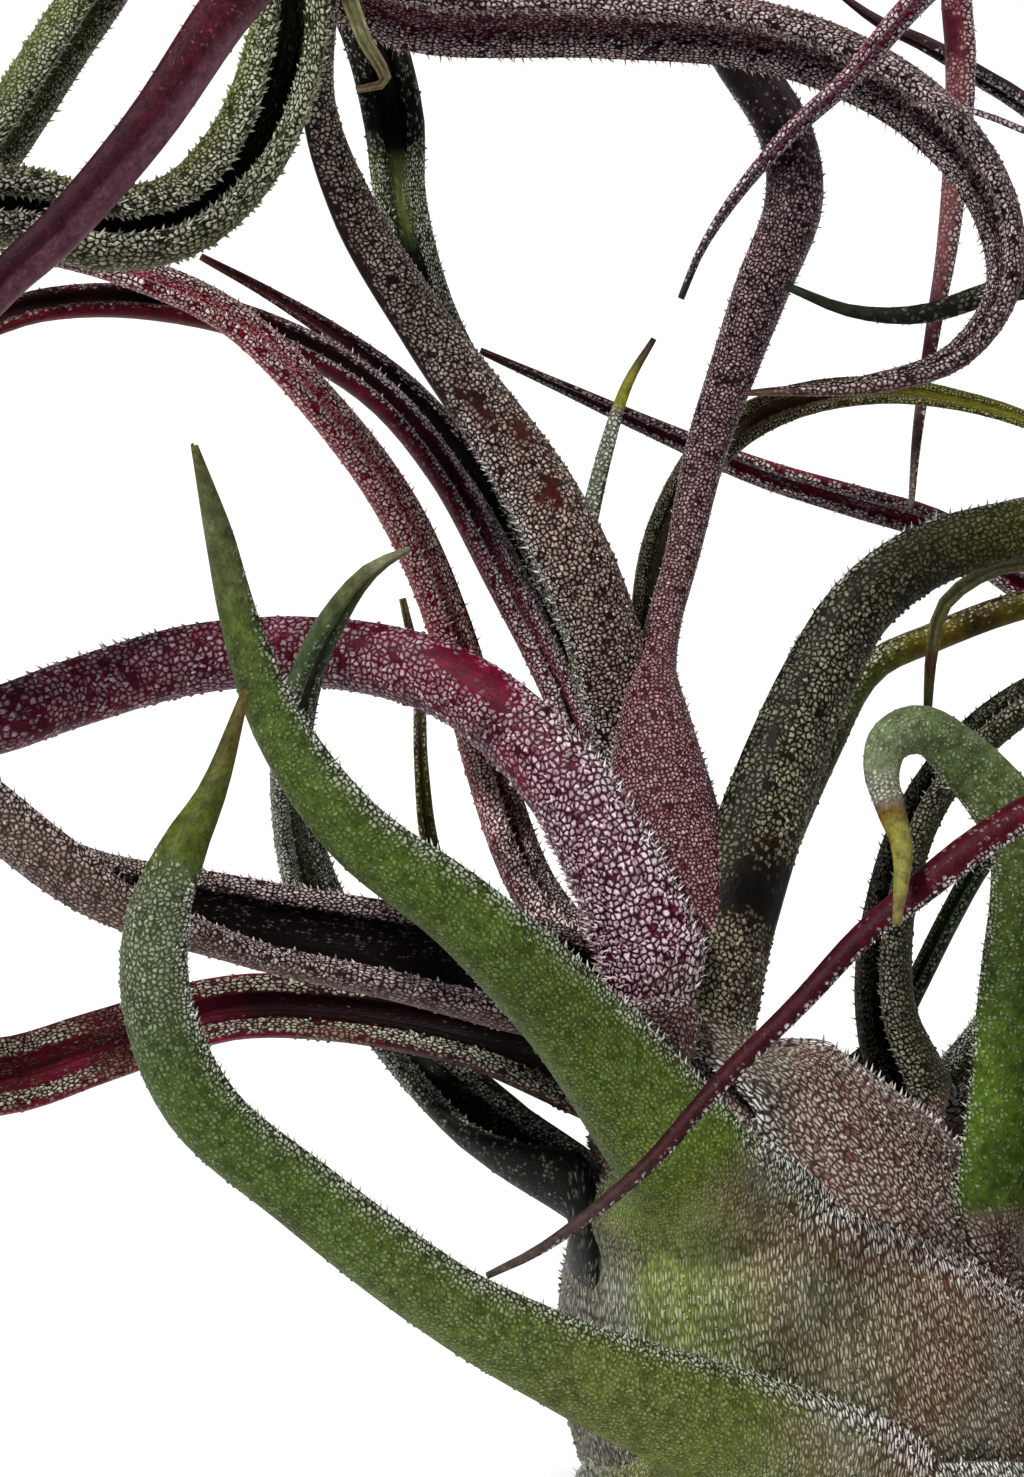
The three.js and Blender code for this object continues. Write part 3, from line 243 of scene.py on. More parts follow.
            (26.3, -10.9, -13.5, 1.8), (28.4, -7.3, -13.5, 1.8), (32.3, -3.1, -14, 1.6),
            (35.9, -1.3, -14, 1.1), (38.9, -3.1, -14, 0.5)]),
    dict(name="leaf_small_yellow", azimuth=140,
        path=[(9.8, -22.6, -5, 2.6), (1.5, -17, -13, 1.9), (-3, -12, -15, 1.6), (-4.9, -6.8, -15, 1.3),
            (-5.5, -1.6, -14.6, 1), (-5.7, 4, -14, 0.8), (-6.6, 8.4, -13.6, 0.5)]),
]
print("leaves in the table:", len(LEAVES))

# %% [markdown]
# ## Colours
# Each leaf changes colour from its shoulder to its tip. A look holds the tissue's colours as
# (share of the length, colour), how frosty the leaf is as (share, 0 to 1), the tint of its
# scales, and the share of the length where the smooth bare tip begins.

# %% The colours of each leaf
GREY_GREEN = "#b9bd8e"
WHITISH = "#dcd6d4"
PINKISH = "#e2c6ca"
BEIGE = "#c6bda2"
LOOKS = {
    "foot_leaf_left_front": (
        [(0, "#4d5a30"), (0.8, "#4a5a30"), (1, "#7a7c3c")],
        [(0, 0.6)], GREY_GREEN, 0.9),
    "foot_leaf_left_back": ([(0.8, "#46522e"), (1, "#7a7a3a")], [(0, 0.7)], GREY_GREEN, 0.9),
    "foot_leaf_right_front": ([(0, "#4f4a30"), (0.8, "#4f3c30"), (1, "#7d7038")], [(0, 0.7)], BEIGE, 0.9),
    "foot_leaf_right_back": ([(0.8, "#46522e"), (1, "#7a7a3a")], [(0, 0.7)], GREY_GREEN, 0.9),
    "foot_leaf_back": ([(0.8, "#444e2c"), (1, "#7a7a3a")], [(0, 0.7)], GREY_GREEN, 0.9),
    "leaf_behind_right": ([(0.8, "#3e4a22"), (1, "#80802f")], [(0, 0.7)], GREY_GREEN, 0.9),
    "leaf_before_right": ([(0, "#4a5a26"), (0.8, "#4c5c28"), (1, "#80802f")], [(0, 0.5)], GREY_GREEN, 0.9),
    "leaf_low_green": (
        [(0, "#66643a"), (0.3, "#626a26"), (0.5, "#56662a"), (0.64, "#485a1c"), (0.76, "#3e501c"),
         (0.8, "#4a5634"), (0.87, "#525c40"), (0.885, "#424e1a"), (0.95, "#46481c"), (1, "#584a28")],
        [(0, 0.4), (0.5, 0.38), (0.76, 0.32), (0.8, 0.5), (0.87, 0.6)], "#acb698", 0.875),
    "leaf_front_hanging": (
        [(0, "#4a3530"), (0.5, "#44181f"), (0.8, "#701c38"), (0.88, "#7a1a3c"), (0.95, "#5c2c3a"),
         (1, "#4c4448")],
        [(0, 0.8), (0.8, 0.55), (1, 0.5)], PINKISH, 0.985),
    "leaf_front_diagonal": (
        [(0, "#5a4434"), (0.3, "#400c1a"), (0.68, "#440614"), (0.78, "#340612"), (0.9, "#301012"),
         (1, "#4c403c")],
        [(0, 0.3), (0.5, 0.16), (0.66, 0.2), (0.74, 0.13), (1, 0.1)], WHITISH, 0.975),
    "leaf_dark_band": (
        [(0, "#46382c"), (0.2, "#301a1c"), (0.8, "#240a10"), (1, "#3c2428")],
        [(0, 0.6), (0.6, 0.2), (1, 0.15)], "#a89490", 0.93),
    "leaf_upper_green": (
        [(0, "#626c28"), (0.3, "#66761c"), (0.5, "#4f621c"), (0.66, "#445618"), (0.8, "#435420"),
         (0.88, "#424e22"), (0.95, "#4e5234"), (1, "#504c2a")],
        [(0, 0.42), (0.5, 0.4), (0.84, 0.3), (0.9, 0.1)], "#a8b08c", 0.93),
    "leaf_pink_thread": (
        [(0, "#4c3a30"), (0.3, "#5a2c36"), (0.85, "#5c2c36"), (0.95, "#5a3a40"), (1, "#5a4a48")],
        [(0, 0.5)], WHITISH, 0.985),
    "leaf_green_hook": (
        [(0, "#4f5a30"), (0.2, "#3e4c1c"), (0.36, "#486018"), (0.52, "#42561a"), (0.6, "#465424"),
         (0.68, "#4e5c30"), (0.75, "#54643a"), (0.84, "#667250"), (0.858, "#8e8e7c"), (0.872, "#9c988a"),
         (0.88, "#4c2f14"), (0.89, "#5c4416"), (0.905, "#68642a"), (0.96, "#6c6834"), (1, "#78683c")],
        [(0, 0.4), (0.3, 0.24), (0.6, 0.3), (0.848, 0.3), (0.86, 0.8)], "#b4ba9c", 0.87),
    "leaf_hanging": (
        [(0, "#4c3a30"), (0.3, "#4e2028"), (0.75, "#6a1a28"), (0.84, "#642030"), (0.88, "#7c4c4c"),
         (0.93, "#70444a"), (0.945, "#38101a"), (0.96, "#3c1c20"), (0.97, "#5a4644"), (1, "#5a5450")],
        [(0, 0.4), (0.84, 0.45), (0.92, 0.4), (0.945, 0.1), (1, 0.4)], "#dcbcb4", 0.99),
    "leaf_back_maroon": (
        [(0, "#4c3a30"), (0.2, "#44101e"), (0.6, "#5c0a20"), (0.8, "#640e26"), (0.9, "#4c1620"),
         (1, "#5a4038")],
        [(0, 0.4), (0.5, 0.12)], WHITISH, 0.97),
    "leaf_channelled": (
        [(0, "#3a3222"), (0.25, "#1e1a10"), (0.5, "#22200f"), (0.7, "#26280f"), (1, "#5a5a30")],
        [(0, 0.5)], "#807e58", 0.92),
    "leaf_long_crossing": (
        [(0, "#54403a"), (0.12, "#4a2c2a"), (0.2, "#3c2020"), (0.27, "#402420"), (0.31, "#54402f"),
         (0.4, "#4c4a32"), (0.52, "#566434"), (0.62, "#5e7036"), (0.65, "#4a1626"), (0.7, "#561028"),
         (0.78, "#40101c"), (0.84, "#2c0c12"), (0.9, "#2c0e12"), (0.94, "#36121c"), (0.97, "#4a3028"),
         (1, "#5c4438")],
        [(0, 0.8), (0.12, 0.65), (0.18, 0.45), (0.26, 0.4), (0.31, 0.6), (0.4, 0.8), (0.88, 0.72),
         (0.95, 0.5)], "#c8acaa", 0.982),
    "leaf_inner_green": (
        [(0, "#3a4228"), (0.3, "#1c2410"), (0.6, "#344420"), (0.76, "#4a5c34"), (0.82, "#2c3c20"),
         (0.92, "#384628"), (0.97, "#5a5c3c"), (1, "#7a765a")],
        [(0, 0.7), (0.76, 0.85), (0.81, 0.12), (1, 0.05)], "#c4cab4", 0.93),
    "leaf_left_loop": (
        [(0, "#432a2a"), (0.14, "#2c1014"), (0.2, "#3c1018"), (0.25, "#641024"), (0.28, "#7c1434"),
         (0.31, "#6a1428"), (0.4, "#4a3028"), (0.6, "#343a24"), (0.76, "#281e16"), (0.81, "#2a2414"),
         (0.84, "#343614"), (0.88, "#4c5a14"), (1, "#7a7a3c")],
        [(0, 0.5), (0.2, 0.2), (0.3, 0.16), (0.36, 0.5), (0.4, 0.8), (0.75, 0.65)], "#a8a87c", 0.93),
    "leaf_dark_arch": (
        [(0, "#3e3222"), (0.28, "#2c2014"), (0.36, "#2c1a10"), (0.42, "#2a1e0c"), (0.47, "#1c1c08"),
         (0.53, "#181605"), (0.58, "#22200a"), (0.64, "#3a3c0a"), (0.69, "#424a0a"), (0.76, "#2c3010"),
         (0.84, "#1c1f12"), (0.93, "#161a10"), (1, "#22261c")],
        [(0, 0.9), (0.5, 0.85), (0.57, 0.6), (0.7, 0.55), (0.77, 0.55), (0.9, 0.4),
         (0.95, 0.2)], "#a09c80", 0.945),
    "leaf_maroon_arch": (
        [(0, "#60404a"), (0.2, "#6c3048"), (0.26, "#6c1c38"), (0.32, "#5c0c2a"), (0.42, "#640824"),
         (0.5, "#5a0c26"), (0.62, "#541024"), (0.9, "#4a1a28"), (1, "#6a5a40")],
        [(0, 1.0), (0.28, 0.95), (0.34, 0.74), (0.4, 0.56), (0.5, 0.42), (0.6, 0.34),
         (1, 0.2)], "#ecd6dc", 0.93),
    # from 0.34 to 0.5 the tall loop's tissue is near black and barely frosty: painted shade where it runs
    # under the big arch
    "leaf_tall_loop": (
        [(0, "#5a3c40"), (0.12, "#602a32"), (0.2, "#581824"), (0.28, "#461418"), (0.34, "#2c0e12"),
         (0.4, "#1c0a0c"), (0.46, "#0c0405"), (0.5, "#2c1418"), (0.7, "#42101c"), (0.78, "#34101a"),
         (0.83, "#2a0c14"), (0.9, "#3a1c28"), (1, "#4a3830")],
        [(0, 0.75), (0.24, 0.7), (0.38, 0.7), (0.42, 0.3), (0.46, 0.1), (0.6, 0.5), (0.7, 0.3),
         (0.76, 0.14), (0.86, 0.12)], "#ccaaac", 0.95),
    "leaf_brown_thick": (
        [(0, "#2c1210"), (0.18, "#361410"), (0.33, "#3a150c"), (0.42, "#30140e"), (0.55, "#2a140f"),
         (0.66, "#201410"), (0.8, "#181410"), (0.86, "#5a5c3c"), (0.93, "#747250"), (0.97, "#6c5c44"),
         (1, "#6a5c48")],
        [(0, 0.75), (0.6, 0.85), (0.84, 0.8), (0.88, 0.3)], "#cab8aa", 0.87),
    "leaf_red_left": (
        [(0, "#3a1216"), (0.14, "#421418"), (0.24, "#7c1c2c"), (0.35, "#b01c38"), (0.6, "#a01034"),
         (0.8, "#640a1c"), (1, "#6a4a34")],
        [(0, 0.3), (0.18, 0.35), (0.25, 0.66), (0.6, 0.64), (0.8, 0.5), (1, 0.3)], "#ffe0da", 0.94),
    "leaf_maroon_left": (
        [(0, "#5c1a28"), (0.2, "#70162c"), (0.34, "#5c0e24"), (0.42, "#44061a"), (0.62, "#400410"),
         (0.8, "#580a1a"), (1, "#5a3a30")],
        [(0, 0.8), (0.28, 0.7), (0.4, 0.2), (0.6, 0.1)], "#c89aa0", 0.95),
    "leaf_dark_left": (
        [(0, "#34141a"), (0.3, "#260a12"), (0.75, "#220a10"), (0.88, "#4a1c22"), (1, "#6a3a38")],
        [(0, 0.4), (0.3, 0.12), (1, 0.1)], "#a07c80", 0.95),
    "leaf_young_spike": (
        [(0, "#3e5426"), (0.6, "#4a6424"), (0.76, "#7c846a"), (0.85, "#9a9c8c"), (0.868, "#6e7020"),
         (0.93, "#5e5c20"), (0.97, "#3c3020"), (1, "#2c2420")],
        [(0, 0.5), (0.7, 0.6), (0.8, 0.85)], "#d4d6c8", 0.855),
    "leaf_dark_behind": (
        [(0, "#1c180e"), (0.3, "#1c200c"), (0.55, "#22240f"), (0.575, "#5a6632"), (0.615, "#4e5a2c"),
         (0.63, "#0e0c08"), (0.76, "#0c0a08"), (0.9, "#262618"), (1, "#4c4c2c")],
        [(0, 0.75), (0.56, 0.7), (0.6, 0.85), (0.63, 0.08), (0.8, 0.1)], "#a8a68c", 0.95),
    "leaf_olive_arch": (
        [(0, "#26241a"), (0.25, "#2c2818"), (0.35, "#3a2418"), (0.45, "#443010"), (0.52, "#4c4008"),
         (0.58, "#6e6c18"), (0.64, "#7e8224"), (0.8, "#5c5428"), (0.86, "#66664a"), (0.93, "#78764a"),
         (0.95, "#6a3a30"), (0.965, "#6c6440"), (1, "#4c4638")],
        [(0, 0.7), (0.38, 0.5), (0.46, 0.26), (0.55, 0.2), (0.6, 0.5), (0.66, 0.4), (0.72, 0.1),
         (1, 0.08)], "#b4ae70", 0.96),
    "leaf_olive_right": (
        [(0, "#241e10"), (0.3, "#30301a"), (0.42, "#34360f"), (0.51, "#46540f"), (0.56, "#5c5a10"),
         (0.6, "#786414"), (0.635, "#30200a"), (0.67, "#4a3c10"), (0.72, "#606824"), (1, "#7a7438")],
        [(0, 0.5), (0.45, 0.35), (0.53, 0.1), (1, 0.08)], "#b4ae84", 0.93),
    "leaf_thin_green": (
        [(0, "#243012"), (0.5, "#26400f"), (0.8, "#30441a"), (1, "#5a6034")],
        [(0, 0.15)], "#a4a890", 0.93),
    "leaf_small_yellow": (
        [(0, "#24220f"), (0.5, "#2c2a0c"), (0.62, "#504e10"), (0.78, "#625c14"), (0.84, "#a09a60"),
         (1, "#a8a070")],
        [(0.75, 0.1), (0.85, 0.5)], "#dcd8b0", 0.97),
}
print("leaves with a look:", len(LOOKS))

# %% [markdown]
# A few leaves carry patches of their own: bare spots, a smooth band along one margin, a stripe, and two
# near-black patches of painted shade.
# A patch is (share, reach) along the leaf, (place, spread) across its back from one margin, 0,
# to the other, 1, then the tissue's colour and how frosty it is there.

# %% Patches
PATCHES = {
    "leaf_brown_thick": [
        (0.6, 0.2, 0.03, 0.16, "#241416", 0.06), (0.4, 0.014, 0.46, 0.08, "#34140a", 0.15),
        (0.345, 0.016, 0.4, 0.09, "#38100a", 0.15), (0.44, 0.03, 0.3, 0.1, "#2c100a", 0.3),
    ],
    "leaf_maroon_arch": [
        (0.46, 0.09, 0.92, 0.24, "#620a28", 0.42), (0.36, 0.02, 0.5, 0.07, "#6c0a2c", 0.35),
        (0.44, 0.02, 0.72, 0.1, "#5a0c26", 0.4), (0.405, 0.024, 0.8, 0.13, "#5c0622", 0.1),
    ],
    "leaf_hanging": [
        (0.885, 0.055, 0.72, 0.16, "#84544a", 0.06), (0.84, 0.012, 0.6, 0.4, "#3c0c18", 0.1),
    ],
    # the near-black patch across the inner green leaf is painted shade under the green shoulder
    "leaf_inner_green": [(0.41, 0.13, 0.5, 1.6, "#0c0e06", 0.2)],
    "leaf_left_loop": [
        (0.285, 0.02, 0.5, 2.0, "#6c1c34", 0.5), (0.225, 0.012, 0.5, 2.0, "#5c2430", 0.6),
    ],
    "leaf_back_maroon": [
        (0.655, 0.02, 0.5, 0.3, "#54202c", 0.75), (0.735, 0.025, 0.45, 0.35, "#54202c", 0.7),
        (0.79, 0.02, 0.5, 0.3, "#54202c", 0.65),
    ],
    "leaf_long_crossing": [(0.275, 0.02, 0.62, 0.14, "#5c2420", 0.35)],
    "leaf_tall_loop": [(0.8, 0.09, 0.5, 0.22, "#5c3842", 0.1)],
    "leaf_dark_arch": [
        # the second patch, a near-black band right across the leaf at 0.375, is a painted cast shadow
        (0.45, 0.06, 0.95, 0.1, "#6a6a50", 1.0), (0.375, 0.021, 0.5, 2.0, "#0a0806", 0.1),
        (0.44, 0.1, 0.12, 0.2, "#14120a", 0.45), (0.33, 0.02, 0.5, 2.0, "#442a26", 0.95),
    ],
}
print("patches:", sum(len(patches) for patches in PATCHES.values()))

# %% [markdown]
# Most tables from here on hold (share of the length, value) for the leaves that differ from the
# usual. GRAIN is one number for a whole leaf: the greater it is, the finer are its scales.
# PAINTED_CHANNEL_LIGHT is the tissue's light that the inside of the channel keeps: its shade is painted
# on.
# FUZZ is where scales stand out like hairs on the faces too, and not only at the rims.

# %% Grain, painted shade in the channels, and fuzz
GRAIN = {
    "leaf_olive_arch": 1.9, "leaf_maroon_arch": 1.1, "leaf_dark_arch": 1.2, "leaf_long_crossing": 1.35,
    "leaf_left_loop": 1.2, "leaf_tall_loop": 1.6,
}
USUAL_GRAIN = 1.4
PAINTED_CHANNEL_LIGHT = {
    "leaf_long_crossing": [(0, 0.03), (0.35, 0.05), (0.5, 0.7)],
    "leaf_left_loop": [(0, 0.04), (0.25, 0.12), (0.275, 0.8), (0.4, 0.8), (0.5, 0.04), (1, 0.06)],
    "leaf_inner_green": [(0, 0.03), (0.6, 0.05), (0.7, 0.8)],
    "leaf_dark_behind": [(0, 0.04), (0.55, 0.04), (0.57, 0.9), (0.615, 0.9), (0.63, 0.04)],
    "leaf_red_left": [(0, 0.25), (0.2, 0.3), (0.3, 0.9)],
    "leaf_maroon_left": [(0.3, 0.8), (0.5, 0.1)],
    "leaf_back_maroon": [(0, 0.9)],
    "leaf_front_hanging": [(0, 0.8)],
    "leaf_olive_arch": [(0, 0.2), (0.5, 0.8)],
    "leaf_thin_green": [(0, 0.6)],
    "leaf_small_yellow": [(0, 0.8)],
}
USUAL_CHANNEL_LIGHT = [(0, 0.03)]
FOOT_CHANNEL_LIGHT = [(0, 0.3)]
FUZZ = {
    "leaf_maroon_arch": [(0.2, 0.3), (0.23, 0.9), (0.3, 0.7), (0.37, 0.0)],
    "leaf_tall_loop": [(0, 0.5), (0.1, 0.3), (0.14, 0)],
    "leaf_left_loop": [(0.7, 0), (0.76, 0.5), (0.88, 0.6)],
    "leaf_long_crossing": [(0.48, 0), (0.55, 0.4), (0.62, 0.4), (0.66, 0.2), (0.8, 0.2), (0.86, 0)],
    "leaf_green_hook": [(0.52, 0), (0.56, 0.25), (0.84, 0.2), (0.87, 0)],
}
print("leaves with a hollow of their own:", len(PAINTED_CHANNEL_LIGHT), "with fuzz:", len(FUZZ))

# %% [markdown]
# The scales of a rim stand off it and are whiter of their own, and painted light is added on them as if
# they stood against the light, so that it looks pale and soft.
# RIM_SHARES is how wide this rim is against the usual one, and RIM_LIGHTS is how far its scales
# go towards RIM_TINT. On smooth leaves the scales are hard to tell from the tissue: SAME_TONE is
# how far they take the tissue's own colour, LIGHTER times as bright.

# %% Rims and tones of the scales
RIM_SHARES = {
    "leaf_left_loop": [(0.08, 1), (0.16, 0.4), (0.21, 0.14), (0.36, 0.14), (0.42, 1)],
    "leaf_long_crossing": [(0.1, 1), (0.16, 0.5), (0.33, 0.55), (0.45, 1)],
    "leaf_tall_loop": [(0.66, 1), (0.71, 0.2)],
    "leaf_maroon_left": [(0.25, 1), (0.4, 0.2)],
    "leaf_green_hook": [(0, 0.4)],
    "leaf_maroon_arch": [(0.4, 1), (0.46, 0.5)],
    "leaf_dark_arch": [(0, 0.6)],
}
RIM_LIGHTS = {
    "leaf_channelled": 0.15, "leaf_olive_arch": 0.15, "leaf_thin_green": 0.2, "leaf_back_maroon": 0.25,
    "leaf_long_crossing": 0.25, "leaf_dark_behind": 0.3, "leaf_dark_left": 0.3, "leaf_left_loop": 0.35,
    "leaf_olive_right": 0.35, "leaf_green_hook": 0.35, "leaf_red_left": 0.35, "leaf_inner_green": 0.45,
}
USUAL_RIM_LIGHT = 0.6
RIM_TINT = Vector((0.92, 0.92, 0.88))
SAME_TONE = {
    "leaf_dark_arch": [(0.5, 0), (0.57, 0.75), (0.7, 0.8), (0.77, 0.2)],
    "leaf_upper_green": [(0.3, 0.5), (1, 0.6)],
    "leaf_low_green": [(0.76, 0.5), (0.8, 0)],
    "leaf_olive_arch": [(0, 0.5)],
    "leaf_tall_loop": [(0.62, 0), (0.7, 0.7)],
    "leaf_long_crossing": [(0.45, 0), (0.5, 0.6), (0.62, 0.6), (0.66, 0)],
    "leaf_hanging": [(0, 0.3)],
}
LIGHTER = 2.2
print("leaves with a rim light of their own:", len(RIM_LIGHTS))

# %% [markdown]
# The sheaths take their colour from their place on the bulb, not from the leaf that they are
# part of: green at the front left, brown to the right, and dark at the left. Brown stains and
# grey bloom lie on them in spots, but not on the green front. The bulb is paler low at its
# front, and painted light makes the shoulders of two green leaves brighter than the rest.

# %% Tones of the bulb
BULB_TONES = [
    (-180, "#4b4630"), (-110, "#6a5038"), (-75, "#8a5440"), (-50, "#7a5440"), (-20, "#625438"),
    (4, "#6a643e"), (14, "#68703a"), (26, "#72823c"), (38, "#626e30"), (48, "#3c422c"),
    (66, "#38392a"), (90, "#484838"), (130, "#4b4630"),
]  # azimuth, tissue colour of the outer sheaths there
BULB_FROST = [(-60, 0.65), (0, 0.6), (20, 0.5), (34, 0.52), (48, 0.55), (90, 0.7)]
INNER_TONE = "#8a6460"
INNER_FROST = 0.85
PALE_TONE = "#c4bcb4"
PALE_DEPTH = 0.8
PALE_HEIGHTS = (26, 10)  # none above the first, full below the second
PALE_FRONT = (-90, -50, 10, 60)  # azimuths where it starts, is full, fades and ends
STAIN_PER_MM = 0.2
STAIN_TONE = "#6e4238"
STAIN_DEPTH = 0.55
BLOOM_TONE = "#7c7e70"
BLOOM_DEPTH = 0.5
SPOT_EDGE = 0.45
CLEAN_FRONT = (-4, 8, 40, 48)
SHEATH_TINT = "#d0c8b8"
SHEATH_TINT_DEPTH = 0.7
# painted light on the shoulders of two green leaves: how much, how far below the shoulder, and at which
# azimuths
SHOULDER_PAINTED_LIGHT = {"leaf_upper_green": 0.85, "leaf_low_green": 0.4}
PAINTED_LIGHT_REACH = 4
PAINTED_LIGHT_AZIMUTHS = (-10, 14)


def linear(channel):
    """sRGB to linear, for one channel from 0 to 1."""
    if channel <= 0.04045:
        return channel / 12.92
    return ((channel + 0.055) / 1.055) ** 2.4


def colour(code):
    """A linear colour from a hex code such as #5c1a28."""
    parts = [int(code[i : i + 2], 16) / 255 for i in (1, 3, 5)]
    return Vector([linear(c) for c in parts])


def at_share(stops, share):
    """The colour at a place in a list of (place, colour)."""
    for (s0, c0), (s1, c1) in zip(stops, stops[1:]):
        if share <= s1:
            f = (share - s0) / (s1 - s0)
            return colour(c0).lerp(colour(c1), max(0.0, f))
    return colour(stops[-1][1])


print("tissue of the bulb's green front, linear:", [round(c, 3) for c in at_share(BULB_TONES, 26)])

# %% [markdown]
# ## The shape of one leaf
# A leaf is lofted through rings. Each ring is a thick arc: the sheath's arc runs round the bulb,
# and the blade's arc curls in on itself into a channel. Between them the lines of the sheath
# bend over into the blade, which makes the shoulder.

# %% Tools for numbers
def from_table(table, x):
    """Straight-line look-up in a table of pairs."""
    if x <= table[0][0]:
        return table[0][1]
    for (x0, y0), (x1, y1) in zip(table, table[1:]):
        if x <= x1:
            return y0 + (y1 - y0) * (x - x0) / (x1 - x0)
    return table[-1][1]


def smoothstep(low, high, x):
    """0 at low, 1 at high, with a soft start and end; low may be the greater."""
    f = min(1.0, max(0.0, (x - low) / (high - low)))
    return f * f * (3 - 2 * f)


def between_limits(limits, x):
    """1 between the middle two of four limits, and softly down to 0 at the outer two."""
    start, full, fading, end = limits
    return smoothstep(start, full, x) * smoothstep(end, fading, x)


print("half way in, a soft step has come to", smoothstep(0, 1, 0.5))

# %% Tools for places
BLEND_REACH = 2.5

AXIS = (BULB_NECK - BULB_FOOT).normalized()
TO_VIEWER = (Vector((0, -1, 0)) + AXIS * AXIS.y).normalized()
TO_LEFT = TO_VIEWER.cross(AXIS).normalized()


def axis_point(height):
    return BULB_FOOT + AXIS * height


def outwards(azimuth):
    return TO_VIEWER * math.cos(azimuth) + TO_LEFT * math.sin(azimuth)


def place_on_bulb(p):
    """The height along the bulb, and the azimuth in degrees, of a point near it."""
    arm = p - BULB_FOOT
    return arm.dot(AXIS), math.degrees(math.atan2(arm.dot(TO_LEFT), arm.dot(TO_VIEWER)))


def layer_radius(layer, height):
    """The outside of a layer of sheaths, smoothed a little along the bulb."""
    total = 0.0
    for d in (-BLEND_REACH, 0.0, BLEND_REACH):
        under = max(0.0, layer - from_table(LAYERS_ENDED, height + d))
        total += from_table(BULB_PROFILE, height + d) - LAYER_PITCH * under
    return total / 3


def read_point(row):
    """The place in space of a path point that was read as right, up and near."""
    right, up, near = row[:3]
    k = (READ_DISTANCE - near) / READ_DISTANCE
    sin, cos = math.sin(READ_TILT), math.cos(READ_TILT)
    return READ_CENTRE + Vector((right * k, up * k * sin - near * cos, up * k * cos + near * sin))


print("outermost radius 20 mm up the bulb:", round(layer_radius(0, 20), 1))

# %% Curves and arcs
LEAST_INNER_SHARE = 0.12
RIM_ROUNDING = 0.25
RIM_ROUNDING_SHARE = 0.3


def centripetal(points, steps):
    """Points along a centripetal Catmull-Rom curve, steps of them for each stretch."""
    ghost_start = points[0] * 2 - points[1]
    ghost_end = points[-1] * 2 - points[-2]
    p = [ghost_start, *points, ghost_end]
    out = []
    for i in range(1, len(p) - 2):
        p0, p1, p2, p3 = p[i - 1 : i + 3]
        t0 = max((p1 - p0).length ** 0.5, 1e-4)
        t1 = max((p2 - p1).length ** 0.5, 1e-4)
        t2 = max((p3 - p2).length ** 0.5, 1e-4)
        m1 = ((p1 - p0) / t0 - (p2 - p0) / (t0 + t1) + (p2 - p1) / t1) * t1
        m2 = ((p2 - p1) / t1 - (p3 - p1) / (t1 + t2) + (p3 - p2) / t2) * t1
        for k in range(steps):
            t = k / steps
            a = p1 * (2 * t**3 - 3 * t**2 + 1) + m1 * (t**3 - 2 * t**2 + t)
            b = p2 * (3 * t**2 - 2 * t**3) + m2 * (t**3 - t**2)
            out.append((i - 1 + t, a + b))
    out.append((len(points) - 1, points[-1].copy()))
    return out


def arc_ring(centre, along, out, radius, half, wall, count):
    """One ring of the leaf: count points on the outer arc, and count back along the inner one."""
    side = along.cross(out)
    inner = max(radius - wall, LEAST_INNER_SHARE * radius)
    rounding = min(RIM_ROUNDING_SHARE * (radius - inner), RIM_ROUNDING)
    points = []
    for start, arc_radius, sign in ((-half, radius, -1), (half, inner, 1)):
        for i in range(count):
            f = i / (count - 1)
            angle = start * (1 - 2 * f)
            pull = sign * rounding if i in (0, count - 1) else 0.0
            way = out * math.cos(angle) + side * math.sin(angle)
            points.append(centre + way * (arc_radius + pull))
    return points


print("points on a curve through three points:", len(centripetal([AXIS * 0, AXIS, AXIS * 3], 8)))

# %% [markdown]
# The blade's direction is carried along the path without spinning, so the channel stays on the
# side that it starts on. Rings stand STEP apart, and closer on the leaves with small marks.

# %% The rings of a blade
STEP = 1.2
FINE_STEP = 0.6
FINE_LEAVES = [
    "leaf_green_hook", "leaf_young_spike", "leaf_brown_thick", "leaf_hanging", "leaf_small_yellow",
]
CURVE_STEPS = 24
LEAST_WIDTH = 0.36


def blade_rings(leaf, count):
    """Rings along the path of a blade: points, share of sheath, way on, radius."""
    rows = leaf.get("path") or leaf["floor"]
    reader = read_point if "path" in leaf else (lambda row: Vector(row[:3]))
    curve = centripetal([reader(row) for row in rows], CURVE_STEPS)
    lengths = [0.0]
    for (_, a), (_, b) in zip(curve, curve[1:]):
        lengths.append(lengths[-1] + (b - a).length)
    end = len(curve) - 1
    out = outwards(math.radians(leaf["azimuth"]))
    along = AXIS.copy()
    rings = []
    step = FINE_STEP if leaf["name"] in FINE_LEAVES else STEP
    last = -step
    for i, (at, p) in enumerate(curve):
        tangent = (curve[min(i + 1, end)][1] - curve[max(i - 1, 0)][1]).normalized()
        out.rotate(along.rotation_difference(tangent))
        out = (out - tangent * out.dot(tangent)).normalized()
        along = tangent
        if lengths[i] - last < step and i != end:
            continue
        if i == end and lengths[i] - last < 0.5 * step:
            rings.pop()
        last = lengths[i]
        k = min(int(at), len(rows) - 2)
        width = rows[k][3] + (rows[k + 1][3] - rows[k][3]) * (at - k)
        radius = max(width, LEAST_WIDTH) / 2
        share = last / lengths[-1]
        turn = math.radians(from_table(leaf.get("twist", [(0, 0)]), share))
        half = math.radians(from_table(leaf.get("curl", [(0, CURL)]), share))
        facing = Quaternion(tangent, turn) @ out
        centre = p - facing * radius * (1 + math.cos(half)) / 2
        wall = min(WALL, WALL_SHARE * radius)
        points = arc_ring(centre, tangent, facing, radius, half, wall, count)
        rings.append((points, 0.0, tangent, radius))
    return rings


print("rings of the first blade:", len(blade_rings(LEAVES[0], 13)))

